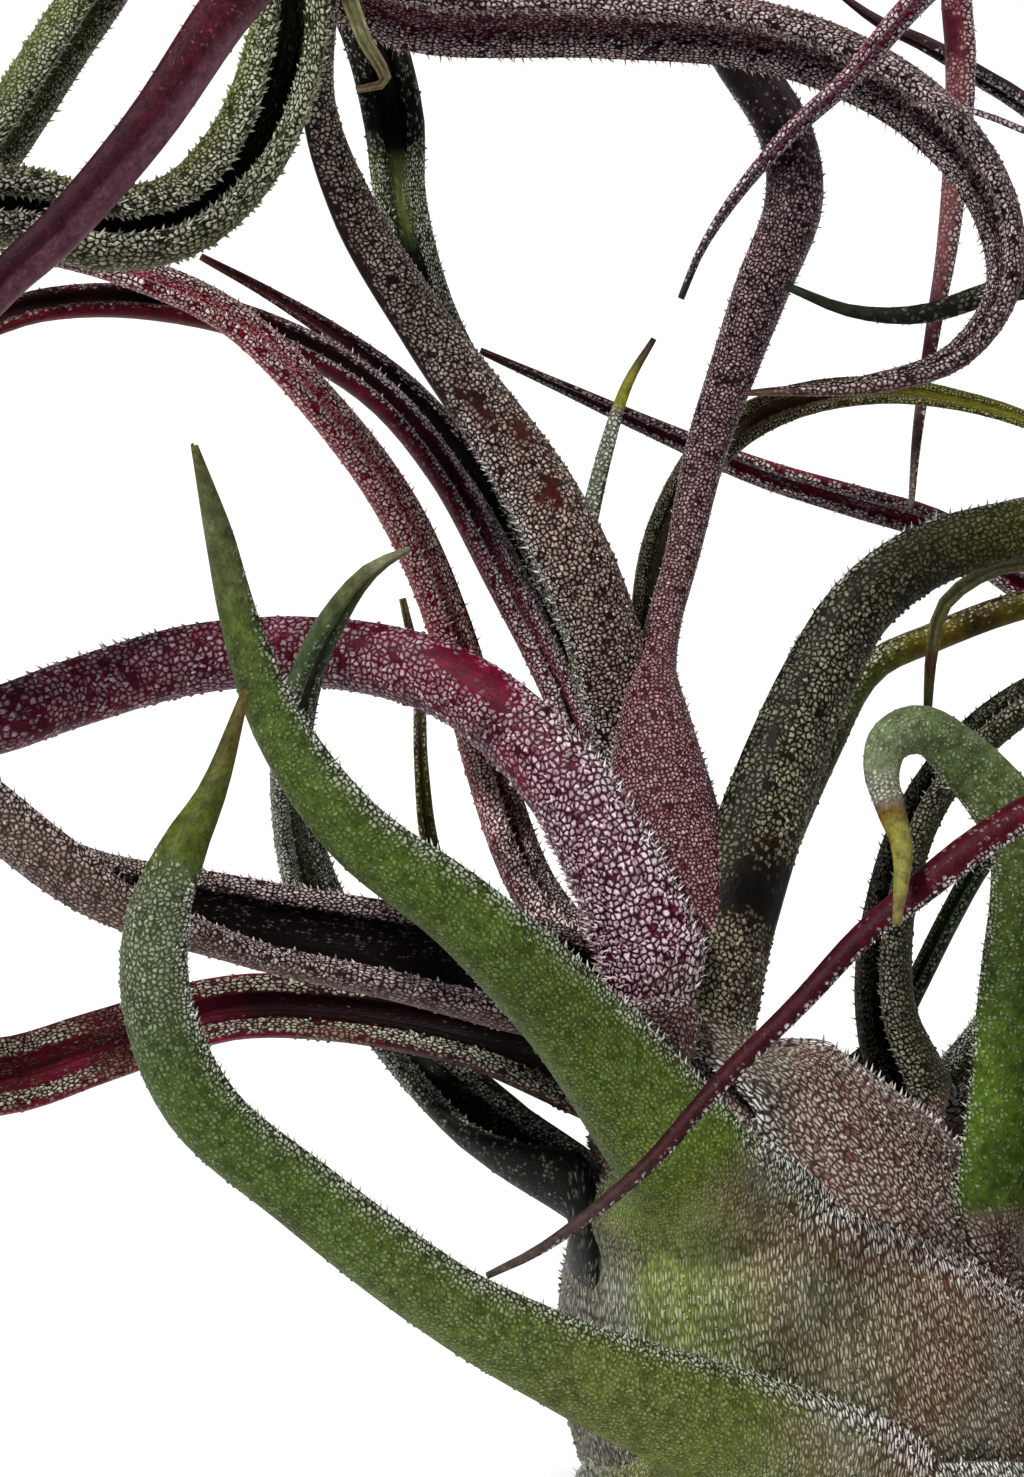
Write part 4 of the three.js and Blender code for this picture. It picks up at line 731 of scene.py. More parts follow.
# %% [markdown]
# A sheath is widest at its foot and narrows towards its shoulder. The sheaths of one layer lie a
# hair's breadth under each other, in the order of the table.

# %% The rings of a whole leaf
SHEATH_STEP = 1.6
SHEATH_NARROWING = 0.42
SHEATH_SIZE = 6.0
NEIGHBOUR_GAP = 0.06
SHOULDER_RINGS = 7
NO_SHEATH = 9  # stands for the layer of a leaf that has no sheath
ARC_POINTS = [(0, 13), (45, 17), (70, 23), (180, 33)]  # spread up to, points on an arc


def kept_spread(share):
    """The part of its spread that a sheath keeps at a share of its height."""
    return 1 - SHEATH_NARROWING * share**4


def sheath_rings(leaf, order, count):
    low, high = SHEATH_LOWS[leaf["layer"]], leaf["ends"]
    out = outwards(math.radians(leaf["azimuth"]))
    rows = max(2, round((high - low) / SHEATH_STEP))
    rings = []
    for i in range(rows + 1):
        height = low + (high - low) * i / rows
        radius = layer_radius(leaf["layer"], height) - NEIGHBOUR_GAP * order
        half = math.radians(leaf["spread"]) * kept_spread(i / rows)
        points = arc_ring(axis_point(height), AXIS, out, radius, half, SHEATH_THICKNESS, count)
        rings.append((points, 1.0, AXIS, SHEATH_SIZE))
    return rings


def shoulder_rings(sheath_end, blade_start):
    """Rings whose lines leave the sheath along the bulb and bend over into the blade."""
    first, _, tangent, size = blade_start
    rings = []
    for i in range(1, SHOULDER_RINGS + 1):
        f = i / (SHOULDER_RINGS + 1)
        points = []
        for p, q in zip(sheath_end[0], first):
            reach = (q - p).length * SHOULDER_REACH
            a = p * (2 * f**3 - 3 * f**2 + 1) + AXIS * reach * (f**3 - 2 * f**2 + f)
            b = q * (3 * f**2 - 2 * f**3) + tangent * reach * (f**3 - f**2)
            points.append(a + b)
        way = AXIS.lerp(tangent, f).normalized()
        rings.append((points, 1 - f, way, SHEATH_SIZE + (size - SHEATH_SIZE) * f))
    return rings


def leaf_rings(leaf, order):
    """Rings from the foot of the sheath to the tip: points, share of sheath, way on, size."""
    spread = leaf.get("spread", 0)
    count = next(points for widest, points in ARC_POINTS if spread <= widest)
    blade = blade_rings(leaf, count)
    if "layer" not in leaf:
        return blade, count
    sheath = sheath_rings(leaf, order, count)
    return sheath + shoulder_rings(sheath[-1], blade[0]) + blade, count


print("a sheath keeps", kept_spread(1), "of its spread at its shoulder")

# %% [markdown]
# A leaf body gets values at each point for what comes later: the colour of its tissue and of its
# scales, how thickly it is scaled, how far the scales stand off, where they stand like hairs, the
# way to its tip, how coarse the scales are, and its skin place: millimetres across and along the
# leaf, which the scale pattern follows.

# %% Colours of the sheaths
COVERED_SHARE = 0.85


def is_covered(leaf, azimuth, height):
    """Whether a sheath further out hides this place on a sheath."""
    for other in LEAVES:
        if other.get("layer", NO_SHEATH) >= leaf.get("layer", NO_SHEATH):
            continue
        apart = (azimuth - other["azimuth"] + 180) % 360 - 180
        low, high = SHEATH_LOWS[other["layer"]], other["ends"]
        half = COVERED_SHARE * other["spread"] * kept_spread(height / high)
        if low + 1 < height < high - 1 and abs(apart) < half:
            return True
    return False


def bulb_tissue(p, height, azimuth, inner):
    """The tissue of a sheath: its tone round the bulb, stains, bloom and the pale low front."""
    tone = colour(INNER_TONE) if inner else at_share(BULB_TONES, azimuth)
    stain = noise.noise(p * STAIN_PER_MM) * (1 - between_limits(CLEAN_FRONT, azimuth))
    tone = tone.lerp(colour(STAIN_TONE), STAIN_DEPTH * smoothstep(0.0, SPOT_EDGE, stain))
    tone = tone.lerp(colour(BLOOM_TONE), BLOOM_DEPTH * smoothstep(0.0, SPOT_EDGE, -stain))
    pale = smoothstep(*PALE_HEIGHTS, height) * between_limits(PALE_FRONT, azimuth)
    return tone.lerp(colour(PALE_TONE), PALE_DEPTH * pale)


def as_bulb(hold, azimuth):
    """How far a shoulder takes the bulb's colour: sooner at the front, where it is in view."""
    to_front = smoothstep(28, 8, azimuth)
    return smoothstep(0.25 - 0.23 * to_front, 0.9 - 0.5 * to_front, hold)


def painted_shoulder_light(leaf, hold, height, azimuth):
    """How much painted light brightens the shoulder of a leaf here."""
    if hold == 0:
        return 0.0
    painted_lift = SHOULDER_PAINTED_LIGHT.get(leaf["name"], 0) * smoothstep(0.1, 0.5, hold)
    painted_lift *= smoothstep(leaf["ends"] - PAINTED_LIGHT_REACH, leaf["ends"], height)
    return painted_lift * smoothstep(*PAINTED_LIGHT_AZIMUTHS, azimuth)


print("the low front is paler by", PALE_DEPTH * between_limits(PALE_FRONT, 0))

# %% The look of a leaf
INNER_LAYER = 3
OUTER_SHEATH = (1.5, 0.55)  # how much narrower and longer the scale pattern is than on a blade
INNER_SHEATH = (1.25, 0.35)


def leaf_look(leaf):
    """All that sets the skin of one leaf, with the usual values where it has none of its own."""
    name = leaf["name"]
    stops, frost, tint, bare_from = LOOKS[name]
    inner = leaf.get("layer", NO_SHEATH) >= INNER_LAYER
    narrower, stretch = INNER_SHEATH if inner else OUTER_SHEATH
    usual_hollow = FOOT_CHANNEL_LIGHT if "floor" in leaf else USUAL_CHANNEL_LIGHT
    return dict(
        stops=stops, frost=frost, tint=colour(tint), bare_from=bare_from, inner=inner,
        narrower=narrower, stretch=stretch, grain=GRAIN.get(name, USUAL_GRAIN),
        hollow=PAINTED_CHANNEL_LIGHT.get(name, usual_hollow), fuzz=FUZZ.get(name, [(0, 0)]),
        rim_share=RIM_SHARES.get(name, [(0, 1)]), rim_light=RIM_LIGHTS.get(name, USUAL_RIM_LIGHT),
        same_tone=SAME_TONE.get(name, [(0, 0)]), patches=PATCHES.get(name, []),
    )


print("values in a look:", len(leaf_look(LEAVES[0])))

# %% The skin at one point
RIM_WIDEST = 2.1
RIM_PART = 0.25
SHEATH_RIM = 1.2
WAVE_SHIFT = 0.006
BLOTCH_DEPTH = 0.08
FROST_BLEND = 0.6
TIP_FADE = 0.012
# painted light that the inside of a channel keeps against its painted shade: LIT_SLIT where the blade is
# slim, LIT_RIM next to the rim
LIT_SLIT = 0.8  # light kept inside where the blade is too slim to have a dark channel
LIT_RIM = 0.6
SLIM_TO_FULL = (0.5, 1.3)  # radius of a slim blade and of a full one
FLOOR_FADE = (0.5, 1.2)  # no scales below the first height, all above the second


def rim_edge(look, share, hold, breadth, off_edge, frost):
    """1 on the fuzzy rim of a leaf and 0 away from it; a bare stretch has no fuzz."""
    zone = (min(RIM_WIDEST, RIM_PART * breadth) + SHEATH_RIM * hold) * from_table(look["rim_share"], share)
    return (1 - smoothstep(0.2 * zone, zone, off_edge)) * smoothstep(0.04, 0.14, frost)


def patched(patches, share, around, hue, frosty, edge):
    """The hue, the frost and the rim of a place after the patches that lie on it."""
    for at, far, place, wide, code, spot_frost in patches:
        away = math.hypot((share - at) / far, (around - place) / wide)
        in_patch = smoothstep(1.1, 0.7, away)
        hue = hue.lerp(colour(code), in_patch)
        frosty += (spot_frost - frosty) * in_patch
        edge *= 1 - in_patch
    return hue, frosty, edge


def scale_tint(look, hue, share, hold, edge):
    """The colour of the scales: the leaf's own tint, the sheath's, and the pale one of a rim, which is
    partly painted light.
    """
    tint = look["tint"].lerp(hue * LIGHTER, from_table(look["same_tone"], share))
    tint = tint.lerp(colour(SHEATH_TINT), SHEATH_TINT_DEPTH * hold)
    return tint.lerp(RIM_TINT, look["rim_light"] * edge * (1 + 0.5 * hold))


def skin_at(leaf, look, phases, p, share, hold, reach, around, off_edge, breadth, inside):
    """What is stored at one point for its colours and its scales."""
    height, azimuth = place_on_bulb(p)
    frosty = from_table(look["frost"], share)
    edge = rim_edge(look, share, hold, breadth, off_edge, frosty)
    wave = math.sin(9 * share + phases[0]) * math.sin(5 * around + phases[1])
    blotch = math.sin(31 * share + phases[2]) * math.sin(7 * around + phases[3])
    hue = at_share(look["stops"], min(1.0, max(0.0, share + WAVE_SHIFT * wave)))
    hue = hue.lerp(bulb_tissue(p, height, azimuth, look["inner"]), as_bulb(hold, azimuth))
    # light is random blotches of tone plus the painted light on the green shoulders; inside a channel it
    # also takes the painted shade below
    light = 1 + BLOTCH_DEPTH * blotch + painted_shoulder_light(leaf, hold, height, azimuth)
    sheath_frost = INNER_FROST if look["inner"] else from_table(BULB_FROST, azimuth)
    frosty += (sheath_frost - frosty) * smoothstep(0, FROST_BLEND, hold)
    # kept is the painted light inside the channel: below, it darkens the tissue there and thins and dulls
    # its scales, as painted shade
    kept = from_table(look["hollow"], share)
    if not inside or kept >= 0.5:
        hue, frosty, edge = patched(look["patches"], share, around, hue, frosty, edge)
    thick = smoothstep(0.04, 0.5, frosty) * (1 - edge) + edge
    if inside:
        kept += (LIT_SLIT - kept) * (1 - smoothstep(*SLIM_TO_FULL, reach))
        light *= kept + (LIT_RIM - kept) * edge**2
        frosty *= kept
        thick *= 0.3 + 0.7 * max(edge, kept) if hold < 1 else 0.0
    elif hold == 1.0 and is_covered(leaf, azimuth, height):
        thick = 0.0
    bare = 1 - smoothstep(look["bare_from"], look["bare_from"] + TIP_FADE, share)
    thick *= smoothstep(*FLOOR_FADE, p.z - FLAT_SPOT.z)
    return dict(
        tissue=(*(hue * light), 1.0), tint=(*scale_tint(look, hue, share, hold, edge), 1.0),
        scaled=bare * min(1.0, thick), stance=frosty + (1 - frosty) * edge,
        hairy=max(from_table(look["fuzz"], share), edge) * (0.5 if inside else 1.0),
        fineness=(0.5 + 0.5 * smoothstep(0.4, 2.2, reach)) / look["grain"],
    )


print("rim of a blade, mm:", RIM_WIDEST, "and on its sheath:", RIM_WIDEST + SHEATH_RIM)

# %% A whole leaf
STORED = ("tissue", "tint", "scaled", "stance", "hairy", "toward", "fineness", "skin")


def ring_places(rings, stretch):
    """How far along the leaf each ring lies: in millimetres, and along the scale pattern."""
    spine = [sum(points, Vector()) / len(points) for points, *_ in rings]
    run = [0.0]
    skin_run = [0.0]
    for (_, hold, *_), a, b in zip(rings, spine, spine[1:]):
        run.append(run[-1] + (b - a).length)
        skin_run.append(skin_run[-1] + (b - a).length * (1 - stretch * hold))
    return run, skin_run


def loft_faces(rows, size):
    """Quads between neighbouring rings, and strips that close the first and the last ring."""
    faces = []
    for i in range(rows - 1):
        a, b = i * size, (i + 1) * size
        for j in range(size):
            k = (j + 1) % size
            faces.append((a + j, a + k, b + k, b + j))
    for ring, flip in ((0, True), (rows - 1, False)):
        a = ring * size
        for j in range(size // 2 - 1):
            face = (a + j, a + j + 1, a + size - 2 - j, a + size - 1 - j)
            faces.append(face[::-1] if flip else face)
    return faces


def finished_mesh(name, vertices, faces, stored):
    """A smooth mesh that holds each list of values as an attribute of its vertices."""
    mesh = bpy.data.meshes.new(name)
    mesh.from_pydata(vertices, [], faces)
    mesh.shade_smooth()
    for key, values in stored.items():
        if isinstance(values[0], float):
            mesh.attributes.new(key, "FLOAT", "POINT").data.foreach_set("value", values)
            continue
        flat = [x for v in values for x in v]
        if len(values[0]) == 4:
            mesh.attributes.new(key, "FLOAT_COLOR", "POINT").data.foreach_set("color", flat)
        else:
            mesh.attributes.new(key, "FLOAT_VECTOR", "POINT").data.foreach_set("vector", flat)
    return mesh


def leaf_mesh(leaf, order):
    """A closed, smooth body for one leaf, with what its materials need stored on it."""
    look = leaf_look(leaf)
    rings, count = leaf_rings(leaf, order)
    size = 2 * count
    run, skin_run = ring_places(rings, look["stretch"])
    chance = random.Random(leaf["name"])
    phases = [chance.uniform(0, 6.28) for _ in range(4)]
    own_skin = chance.uniform(0, 400)
    vertices = []
    stored = {name: [] for name in STORED}
    for i, (points, hold, tangent, reach) in enumerate(rings):
        across = [0.0]
        for a, b in zip(points[:count], points[1:count]):
            across.append(across[-1] + (b - a).length)
        breadth = across[-1]
        for j, p in enumerate(points):
            inside = j >= count
            k = size - 1 - j if inside else j
            off_edge = min(across[k], breadth - across[k])
            values = skin_at(leaf, look, phases, p, run[i] / run[-1], hold, reach, k / (count - 1),
                             off_edge, breadth, inside)
            # the inside carries the pattern on past the rim; it folds in the middle, so none is there
            if inside and abs(2 * k - count + 1) <= 2:
                values["scaled"] = 0.0
            from_middle = across[k] - breadth / 2
            if inside:
                from_middle = math.copysign(breadth + WALL - abs(from_middle), from_middle)
            from_middle *= (1 + (look["narrower"] - 1) * hold) * look["grain"]
            values["skin"] = (from_middle, skin_run[i] * look["grain"] + own_skin, 0.0)
            values["toward"] = tangent.copy()
            for name in STORED:
                stored[name].append(values[name])
            q = p - FLAT_SPOT
            q.z = max(q.z, 0.0)
            vertices.append(q * MM)
    return finished_mesh(leaf["name"] + "_body", vertices, loft_faces(len(rings), size), stored)


print("values stored at each point:", len(STORED))

# %% [markdown]
# ## Materials
# Two materials dress the whole plant. The tissue carries its own colour, and on it lies a
# pattern of rounded scales with painted shade in the gaps between them, longer on the sheaths.
# The scales that stand off it are made of the second material, each of a slightly different tone.

# %% Tools for node trees
def node(tree, kind, inputs=None, **settings):
    """Adds a node, sets its properties, and fills or links its inputs."""
    made = tree.nodes.new(kind)
    for name, value in settings.items():
        setattr(made, name, value)
    for key, value in (inputs or {}).items():
        socket = made.inputs[key]
        if isinstance(value, bpy.types.NodeSocket):
            tree.links.new(value, socket)
        else:
            socket.default_value = value
    return made


def new_material(name):
    made = bpy.data.materials.new(name)
    made.use_nodes = True
    made.node_tree.nodes.clear()
    return made, made.node_tree


def read(tree, name, output="Fac"):
    return node(tree, "ShaderNodeAttribute", attribute_name=name).outputs[output]


def mapped(tree, value, low, high, to_low, to_high):
    """Takes low to to_low and high to to_high, and stops there."""
    names = {"Value": value, "From Min": low, "From Max": high, "To Min": to_low, "To Max": to_high}
    return node(tree, "ShaderNodeMapRange", names).outputs[0]


def maths(tree, operation, a, b, clamp=False):
    return node(tree, "ShaderNodeMath", {0: a, 1: b}, operation=operation, use_clamp=clamp).outputs[0]


def product(tree, a, b, clamp=False):
    return maths(tree, "MULTIPLY", a, b, clamp)


def stretched(tree, vector, factor):
    """A vector or a colour times one number."""
    return node(tree, "ShaderNodeVectorMath", {0: vector, "Scale": factor}, operation="SCALE").outputs[0]


def combined(tree, operation, a, b):
    """Two vectors added or multiplied."""
    return node(tree, "ShaderNodeVectorMath", {0: a, 1: b}, operation=operation).outputs[0]


def speckle(tree, place, scale, detail, output="Fac"):
    """Smooth noise at a place."""
    settings = {"Vector": place, "Scale": scale, "Detail": detail}
    return node(tree, "ShaderNodeTexNoise", settings).outputs[output]


def blended(tree, share, a, b):
    """Colour a at share 0 and colour b at share 1."""
    return node(tree, "ShaderNodeMix", {"Factor": share, 6: a, 7: b}, data_type="RGBA").outputs[2]


def object_place(tree):
    return node(tree, "ShaderNodeTexCoord").outputs["Object"]


print("made the tools for node trees")

# %% Leaf tissue
CELLS_PER_MM = 2.3
WOBBLES_PER_MM = 2.5
WOBBLE = 0.35
MOTTLES_PER_MM = 0.8
STREAKS_PER_MM = 3.0
BLOTCHES_PER_M = 300.0
RELIEF = 0.14

tissue_material, tree = new_material("leaf_tissue")
stance, scaled = read(tree, "stance"), read(tree, "scaled")
flat_skin = read(tree, "skin", "Vector")
wobble = stretched(tree, speckle(tree, flat_skin, WOBBLES_PER_MM, 2.0, "Color"), WOBBLE)
skin_place = combined(tree, "ADD", flat_skin, wobble)
mottle = speckle(tree, skin_place, MOTTLES_PER_MM, 5.0)
fine = speckle(tree, combined(tree, "MULTIPLY", skin_place, (1.3, 0.8, 1.0)), STREAKS_PER_MM, 4.0)

# one rounded scale in each cell, of its own strength; some are left out where the leaf is bare
grid = {"Vector": skin_place, "Scale": CELLS_PER_MM, "Randomness": 0.85}
cells = node(tree, "ShaderNodeTexVoronoi", grid, voronoi_dimensions="2D").outputs
rims = node(tree, "ShaderNodeTexVoronoi", grid, voronoi_dimensions="2D", feature="DISTANCE_TO_EDGE")
own = node(tree, "ShaderNodeSeparateColor", {0: cells["Color"]}).outputs
round_off = mapped(tree, cells["Distance"], 0.7, 0.34, 0.0, 1.0)
body = product(tree, mapped(tree, rims.outputs["Distance"], 0.07, 0.25, 0.0, 1.0), round_off)
wanted = product(tree, scaled, mapped(tree, mottle, 0.38, 0.58, 0.72, 1.3))
there = product(tree, maths(tree, "SUBTRACT", wanted, own[0]), 6.0, clamp=True)
strength = mapped(tree, own[1], 0.0, 1.0, 0.45, 1.25)
strength = product(tree, strength, mapped(tree, stance, 0.0, 1.0, 0.16, 1.0))
cover = product(tree, product(tree, body, there), strength)
cover = product(tree, cover, mapped(tree, fine, 0.32, 0.68, 0.3, 1.35), clamp=True)

# the tissue under them: blotched and streaked, with painted shade in the gaps between standing scales
blotches = speckle(tree, object_place(tree), BLOTCHES_PER_M, 6.0)
varied = stretched(tree, read(tree, "tissue", "Color"), mapped(tree, blotches, 0.3, 0.7, 0.82, 1.2))
gap = product(tree, maths(tree, "SUBTRACT", 1.0, body), scaled)
# painted shade: where the scales stand, the tissue in the gaps goes down to 0.14 of its colour
gap_shaded_tissue = stretched(tree, varied, mapped(tree, product(tree, gap, stance), 0.0, 1.0, 1.0, 0.14))
streaks = product(tree, mapped(tree, fine, 0.3, 0.7, 0.62, 1.42),
                  mapped(tree, mottle, 0.35, 0.65, 0.72, 1.35))
dressed = blended(tree, cover, stretched(tree, gap_shaded_tissue, streaks), read(tree, "tint", "Color"))
relief = maths(tree, "ADD", product(tree, product(tree, body, there), 0.8), product(tree, fine, 0.5))
bump = node(tree, "ShaderNodeBump", {"Height": relief, "Strength": 0.8, "Distance": RELIEF * MM})
skin = node(tree, "ShaderNodeBsdfPrincipled",
            {"Base Color": dressed, "Roughness": 0.5, "Specular IOR Level": 0.1,
             "Normal": bump.outputs[0]})
node(tree, "ShaderNodeOutputMaterial", {"Surface": skin.outputs[0]})
print("nodes in", tissue_material.name + ":", len(tree.nodes))

# %% Silvery scales
SPOTS_PER_M = 6000.0

scale_material, tree = new_material("silvery_leaf_scale")
spot = speckle(tree, object_place(tree), SPOTS_PER_M, 2.0)
silver = product(tree, mapped(tree, read(tree, "shade"), 0.0, 1.0, 0.1, 1.25),
                 mapped(tree, read(tree, "stance"), 0.0, 1.0, 0.3, 1.0))
silver = product(tree, silver, mapped(tree, spot, 0.35, 0.65, 0.6, 1.25), clamp=True)
mixed = blended(tree, silver, read(tree, "tissue", "Color"), read(tree, "tint", "Color"))
flake = node(tree, "ShaderNodeBsdfPrincipled",
             {"Base Color": mixed, "Roughness": 0.45, "Specular IOR Level": 0.2})
node(tree, "ShaderNodeOutputMaterial", {"Surface": flake.outputs[0]})
print("nodes in", scale_material.name + ":", len(tree.nodes))

# %% [markdown]
# ## Scales
# The leaf scales of this species stand off the leaf like small frosty beads and teeth. Each is
# a long octahedron that leans towards the leaf's tip. Where the scales lie down, on the smooth
# blades, they are narrow and flat. They are strewn at least a set spacing apart, thickest where
# the leaf is scaled, and at the rims and in the fuzz they are slim and tall.

# %% The scale scatter, as geometry nodes
BEAD_RADIUS = 0.18
BEAD_SUNK = 0.02


def named(tree, name, kind="FLOAT"):
    made = node(tree, "GeometryNodeInputNamedAttribute", {"Name": name}, data_type=kind)
    return made.outputs["Attribute"]


def chance_between(tree, low, high, seed, salt):
    """A number for each point, drawn anew for each seed and salt."""
    apart = node(tree, "FunctionNodeIntegerMath", {0: seed, 1: salt}, operation="ADD").outputs[0]
    made = node(tree, "FunctionNodeRandomValue", {"Seed": apart}, data_type="FLOAT")
    floats = [s for s in made.inputs if s.type == "VALUE"]
    floats[0].default_value = low
    floats[1].default_value = high
    return [s for s in made.outputs if s.type == "VALUE"][0]


def bead(tree):
    """An octahedron, sunk a little into the skin that it stands on."""
    ball = node(tree, "GeometryNodeMeshUVSphere", {"Segments": 4, "Rings": 2, "Radius": BEAD_RADIUS * MM})
    turned = node(tree, "GeometryNodeTransform",
                  {"Geometry": ball.outputs["Mesh"], "Translation": (0, 0, BEAD_SUNK * MM),
                   "Rotation": (0, 0, math.pi / 4)})
    smooth = {"Geometry": turned.outputs[0], "Shade Smooth": True}
    return node(tree, "GeometryNodeSetShadeSmooth", smooth).outputs[0]


def bead_rotation(tree, strewn, seed, stance, toward):
    """Upright on the skin, leaning towards the leaf's tip, and spun a little."""
    lean_by = product(tree, chance_between(tree, 0.1, 1.2, seed, 1), stance)
    way = combined(tree, "ADD", strewn.outputs["Normal"], stretched(tree, toward, lean_by))
    upright = node(tree, "FunctionNodeAlignRotationToVector",
                   {"Rotation": strewn.outputs["Rotation"], "Vector": way}, axis="Z")
    aimed = node(tree, "FunctionNodeAlignRotationToVector",
                 {"Rotation": upright.outputs[0], "Vector": toward}, axis="Y", pivot_axis="Z")
    angle = chance_between(tree, -0.35, 0.35, seed, 2)
    spin = node(tree, "FunctionNodeAxisAngleToRotation", {"Axis": (0, 0, 1), "Angle": angle})
    turned = node(tree, "FunctionNodeRotateRotation",
                  {"Rotation": aimed.outputs[0], "Rotate By": spin.outputs[0]}, rotation_space="LOCAL")
    return turned.outputs[0]


def bead_scale(tree, seed, stance, hairy):
    """Flat and long where the scales lie down, round where they stand, tall where hairy."""
    size = product(tree, chance_between(tree, 0.75, 1.3, seed, 3), named(tree, "fineness"))
    slim = mapped(tree, hairy, 0.0, 1.0, 1.0, 0.5)
    shape = node(tree, "ShaderNodeCombineXYZ",
                 {0: product(tree, slim, mapped(tree, stance, 0.0, 1.0, 0.45, 0.85)),
                  1: product(tree, slim, mapped(tree, stance, 0.0, 1.0, 1.5, 1.0)),
                  2: product(tree, mapped(tree, hairy, 0.0, 1.0, 1.0, 2.7),
                             mapped(tree, stance, 0.0, 1.0, 0.4, 1.0))})
    return stretched(tree, shape.outputs[0], size)


def scale_scatter():
    tree = bpy.data.node_groups.new("leaf_scales", "GeometryNodeTree")
    face = tree.interface
    face.new_socket("Geometry", in_out="INPUT", socket_type="NodeSocketGeometry")
    face.new_socket("Spacing", in_out="INPUT", socket_type="NodeSocketFloat")
    face.new_socket("Seed", in_out="INPUT", socket_type="NodeSocketInt")
    face.new_socket("Geometry", in_out="OUTPUT", socket_type="NodeSocketGeometry")
    given = node(tree, "NodeGroupInput").outputs
    seed = given["Seed"]
    stance, hairy = named(tree, "stance"), named(tree, "hairy")
    often = maths(tree, "MAXIMUM", mapped(tree, stance, 0.1, 0.9, 0.12, 0.7), hairy)
    most = maths(tree, "DIVIDE", 1.6, product(tree, given["Spacing"], given["Spacing"]))
    strewn = node(tree, "GeometryNodeDistributePointsOnFaces",
                  {"Mesh": given["Geometry"], "Distance Min": given["Spacing"], "Density Max": most,
                   "Density Factor": product(tree, named(tree, "scaled"), often), "Seed": seed},
                  distribute_method="POISSON")
    turns = bead_rotation(tree, strewn, seed, stance, named(tree, "toward", "FLOAT_VECTOR"))
    placed = node(tree, "GeometryNodeInstanceOnPoints",
                  {"Points": strewn.outputs["Points"], "Instance": bead(tree), "Rotation": turns,
                   "Scale": bead_scale(tree, seed, stance, hairy)})
    shaded = node(tree, "GeometryNodeStoreNamedAttribute",
                  {"Geometry": placed.outputs[0], "Name": "shade"}, data_type="FLOAT", domain="INSTANCE")
    shade = chance_between(tree, 0.0, 1.0, seed, 4)
    tree.links.new(shade, [s for s in shaded.inputs if s.name == "Value" and s.enabled][0])
    real = node(tree, "GeometryNodeRealizeInstances", {"Geometry": shaded.outputs[0]})
    silvered = node(tree, "GeometryNodeSetMaterial",
                    {"Geometry": real.outputs[0], "Material": scale_material})
    both = node(tree, "GeometryNodeJoinGeometry")
    tree.links.new(silvered.outputs[0], both.inputs[0])
    tree.links.new(given["Geometry"], both.inputs[0])
    node(tree, "NodeGroupOutput", {0: both.outputs[0]})
    return tree


scatter = scale_scatter()
SPACING = 0.38
print("nodes in the scatter:", len(scatter.nodes))

# %% [markdown]
# ## Make every leaf
# Each body is built, strewn with scales, and turned into a plain mesh that stands for its node.

# %% Build the leaves
def dressed_object(name, mesh, seed, spacing):
    mesh.materials.append(tissue_material)
    worked = bpy.data.objects.new(name + "_worked", mesh)
    bpy.context.scene.collection.objects.link(worked)
    modifier = worked.modifiers.new("scales", "NODES")
    modifier.node_group = scatter
    given = {s.name: s.identifier for s in scatter.interface.items_tree if s.in_out == "INPUT"}
    modifier[given["Spacing"]] = spacing * MM
    modifier[given["Seed"]] = seed
    worked.update_tag()
    graph = bpy.context.evaluated_depsgraph_get()
    whole = bpy.data.meshes.new_from_object(worked.evaluated_get(graph))
    bpy.data.objects.remove(worked)
    whole.name = name
    made = bpy.data.objects.new(name, whole)
    bpy.context.scene.collection.objects.link(made)
    return made


order_in_layer = {}
triangles = 0
for number, leaf in enumerate(LEAVES):
    layer = leaf.get("layer", NO_SHEATH)
    order_in_layer[layer] = order_in_layer.get(layer, -1) + 1
    body_mesh = leaf_mesh(leaf, order_in_layer[layer])
    piece = dressed_object(leaf["name"] + "_scaled", body_mesh, number, SPACING)
    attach(piece, "root")
    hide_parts(leaf["name"])
    count = sum(len(p.vertices) - 2 for p in piece.data.polygons)
    triangles += count
    print(f"{leaf['name']:24s} {count:7d} triangles")
print("leaves together:", triangles)

# %% [markdown]
# ## The heart
# The short stem shows only below the outer sheaths and at the back of the neck. It is a lathe
# of the same profile, wrinkled along its length, and slimmer where sheaths lie on it.

# %% Build the heart
HEART_LOW = -4
HEART_STEP = 0.9
HEART_SIDES = 72
HEART_LAYER = 4
HEART_FULLER = 3.6
HEART_SCALED = 0.9
HEART_STANCE = 0.4
HEART_SEED = 99
HEART_SPACING = 1.2
DRY_TONE = "#4c3e2a"
FRESH_TONE = "#505430"


def heart_radius(height, angle):
    """Full width at the foot, slimmer under the sheaths, with two sets of wrinkles."""
    foot = from_table(BULB_PROFILE, height) - 0.2
    slim = layer_radius(HEART_LAYER, height) - HEART_DEPTH + HEART_FULLER
    radius = foot + (min(foot, slim) - foot) * smoothstep(5, 9, height)
    wrinkle = 0.16 * math.sin(11 * angle + 0.1 * height) + 0.08 * math.sin(23 * angle - 0.2 * height)
    return radius, wrinkle


def lathe_faces(rows, sides):
    """Quads round a lathe, and a fan to a middle point at each end."""
    faces = []
    for i in range(rows - 1):
        for j in range(sides):
            k = (j + 1) % sides
            a, b = i * sides, (i + 1) * sides
            faces.append((a + j, b + j, b + k, a + k))
    top = (rows - 1) * sides
    for j in range(sides):
        k = (j + 1) % sides
        faces.append((rows * sides, j, k))
        faces.append((rows * sides + 1, top + k, top + j))
    return faces


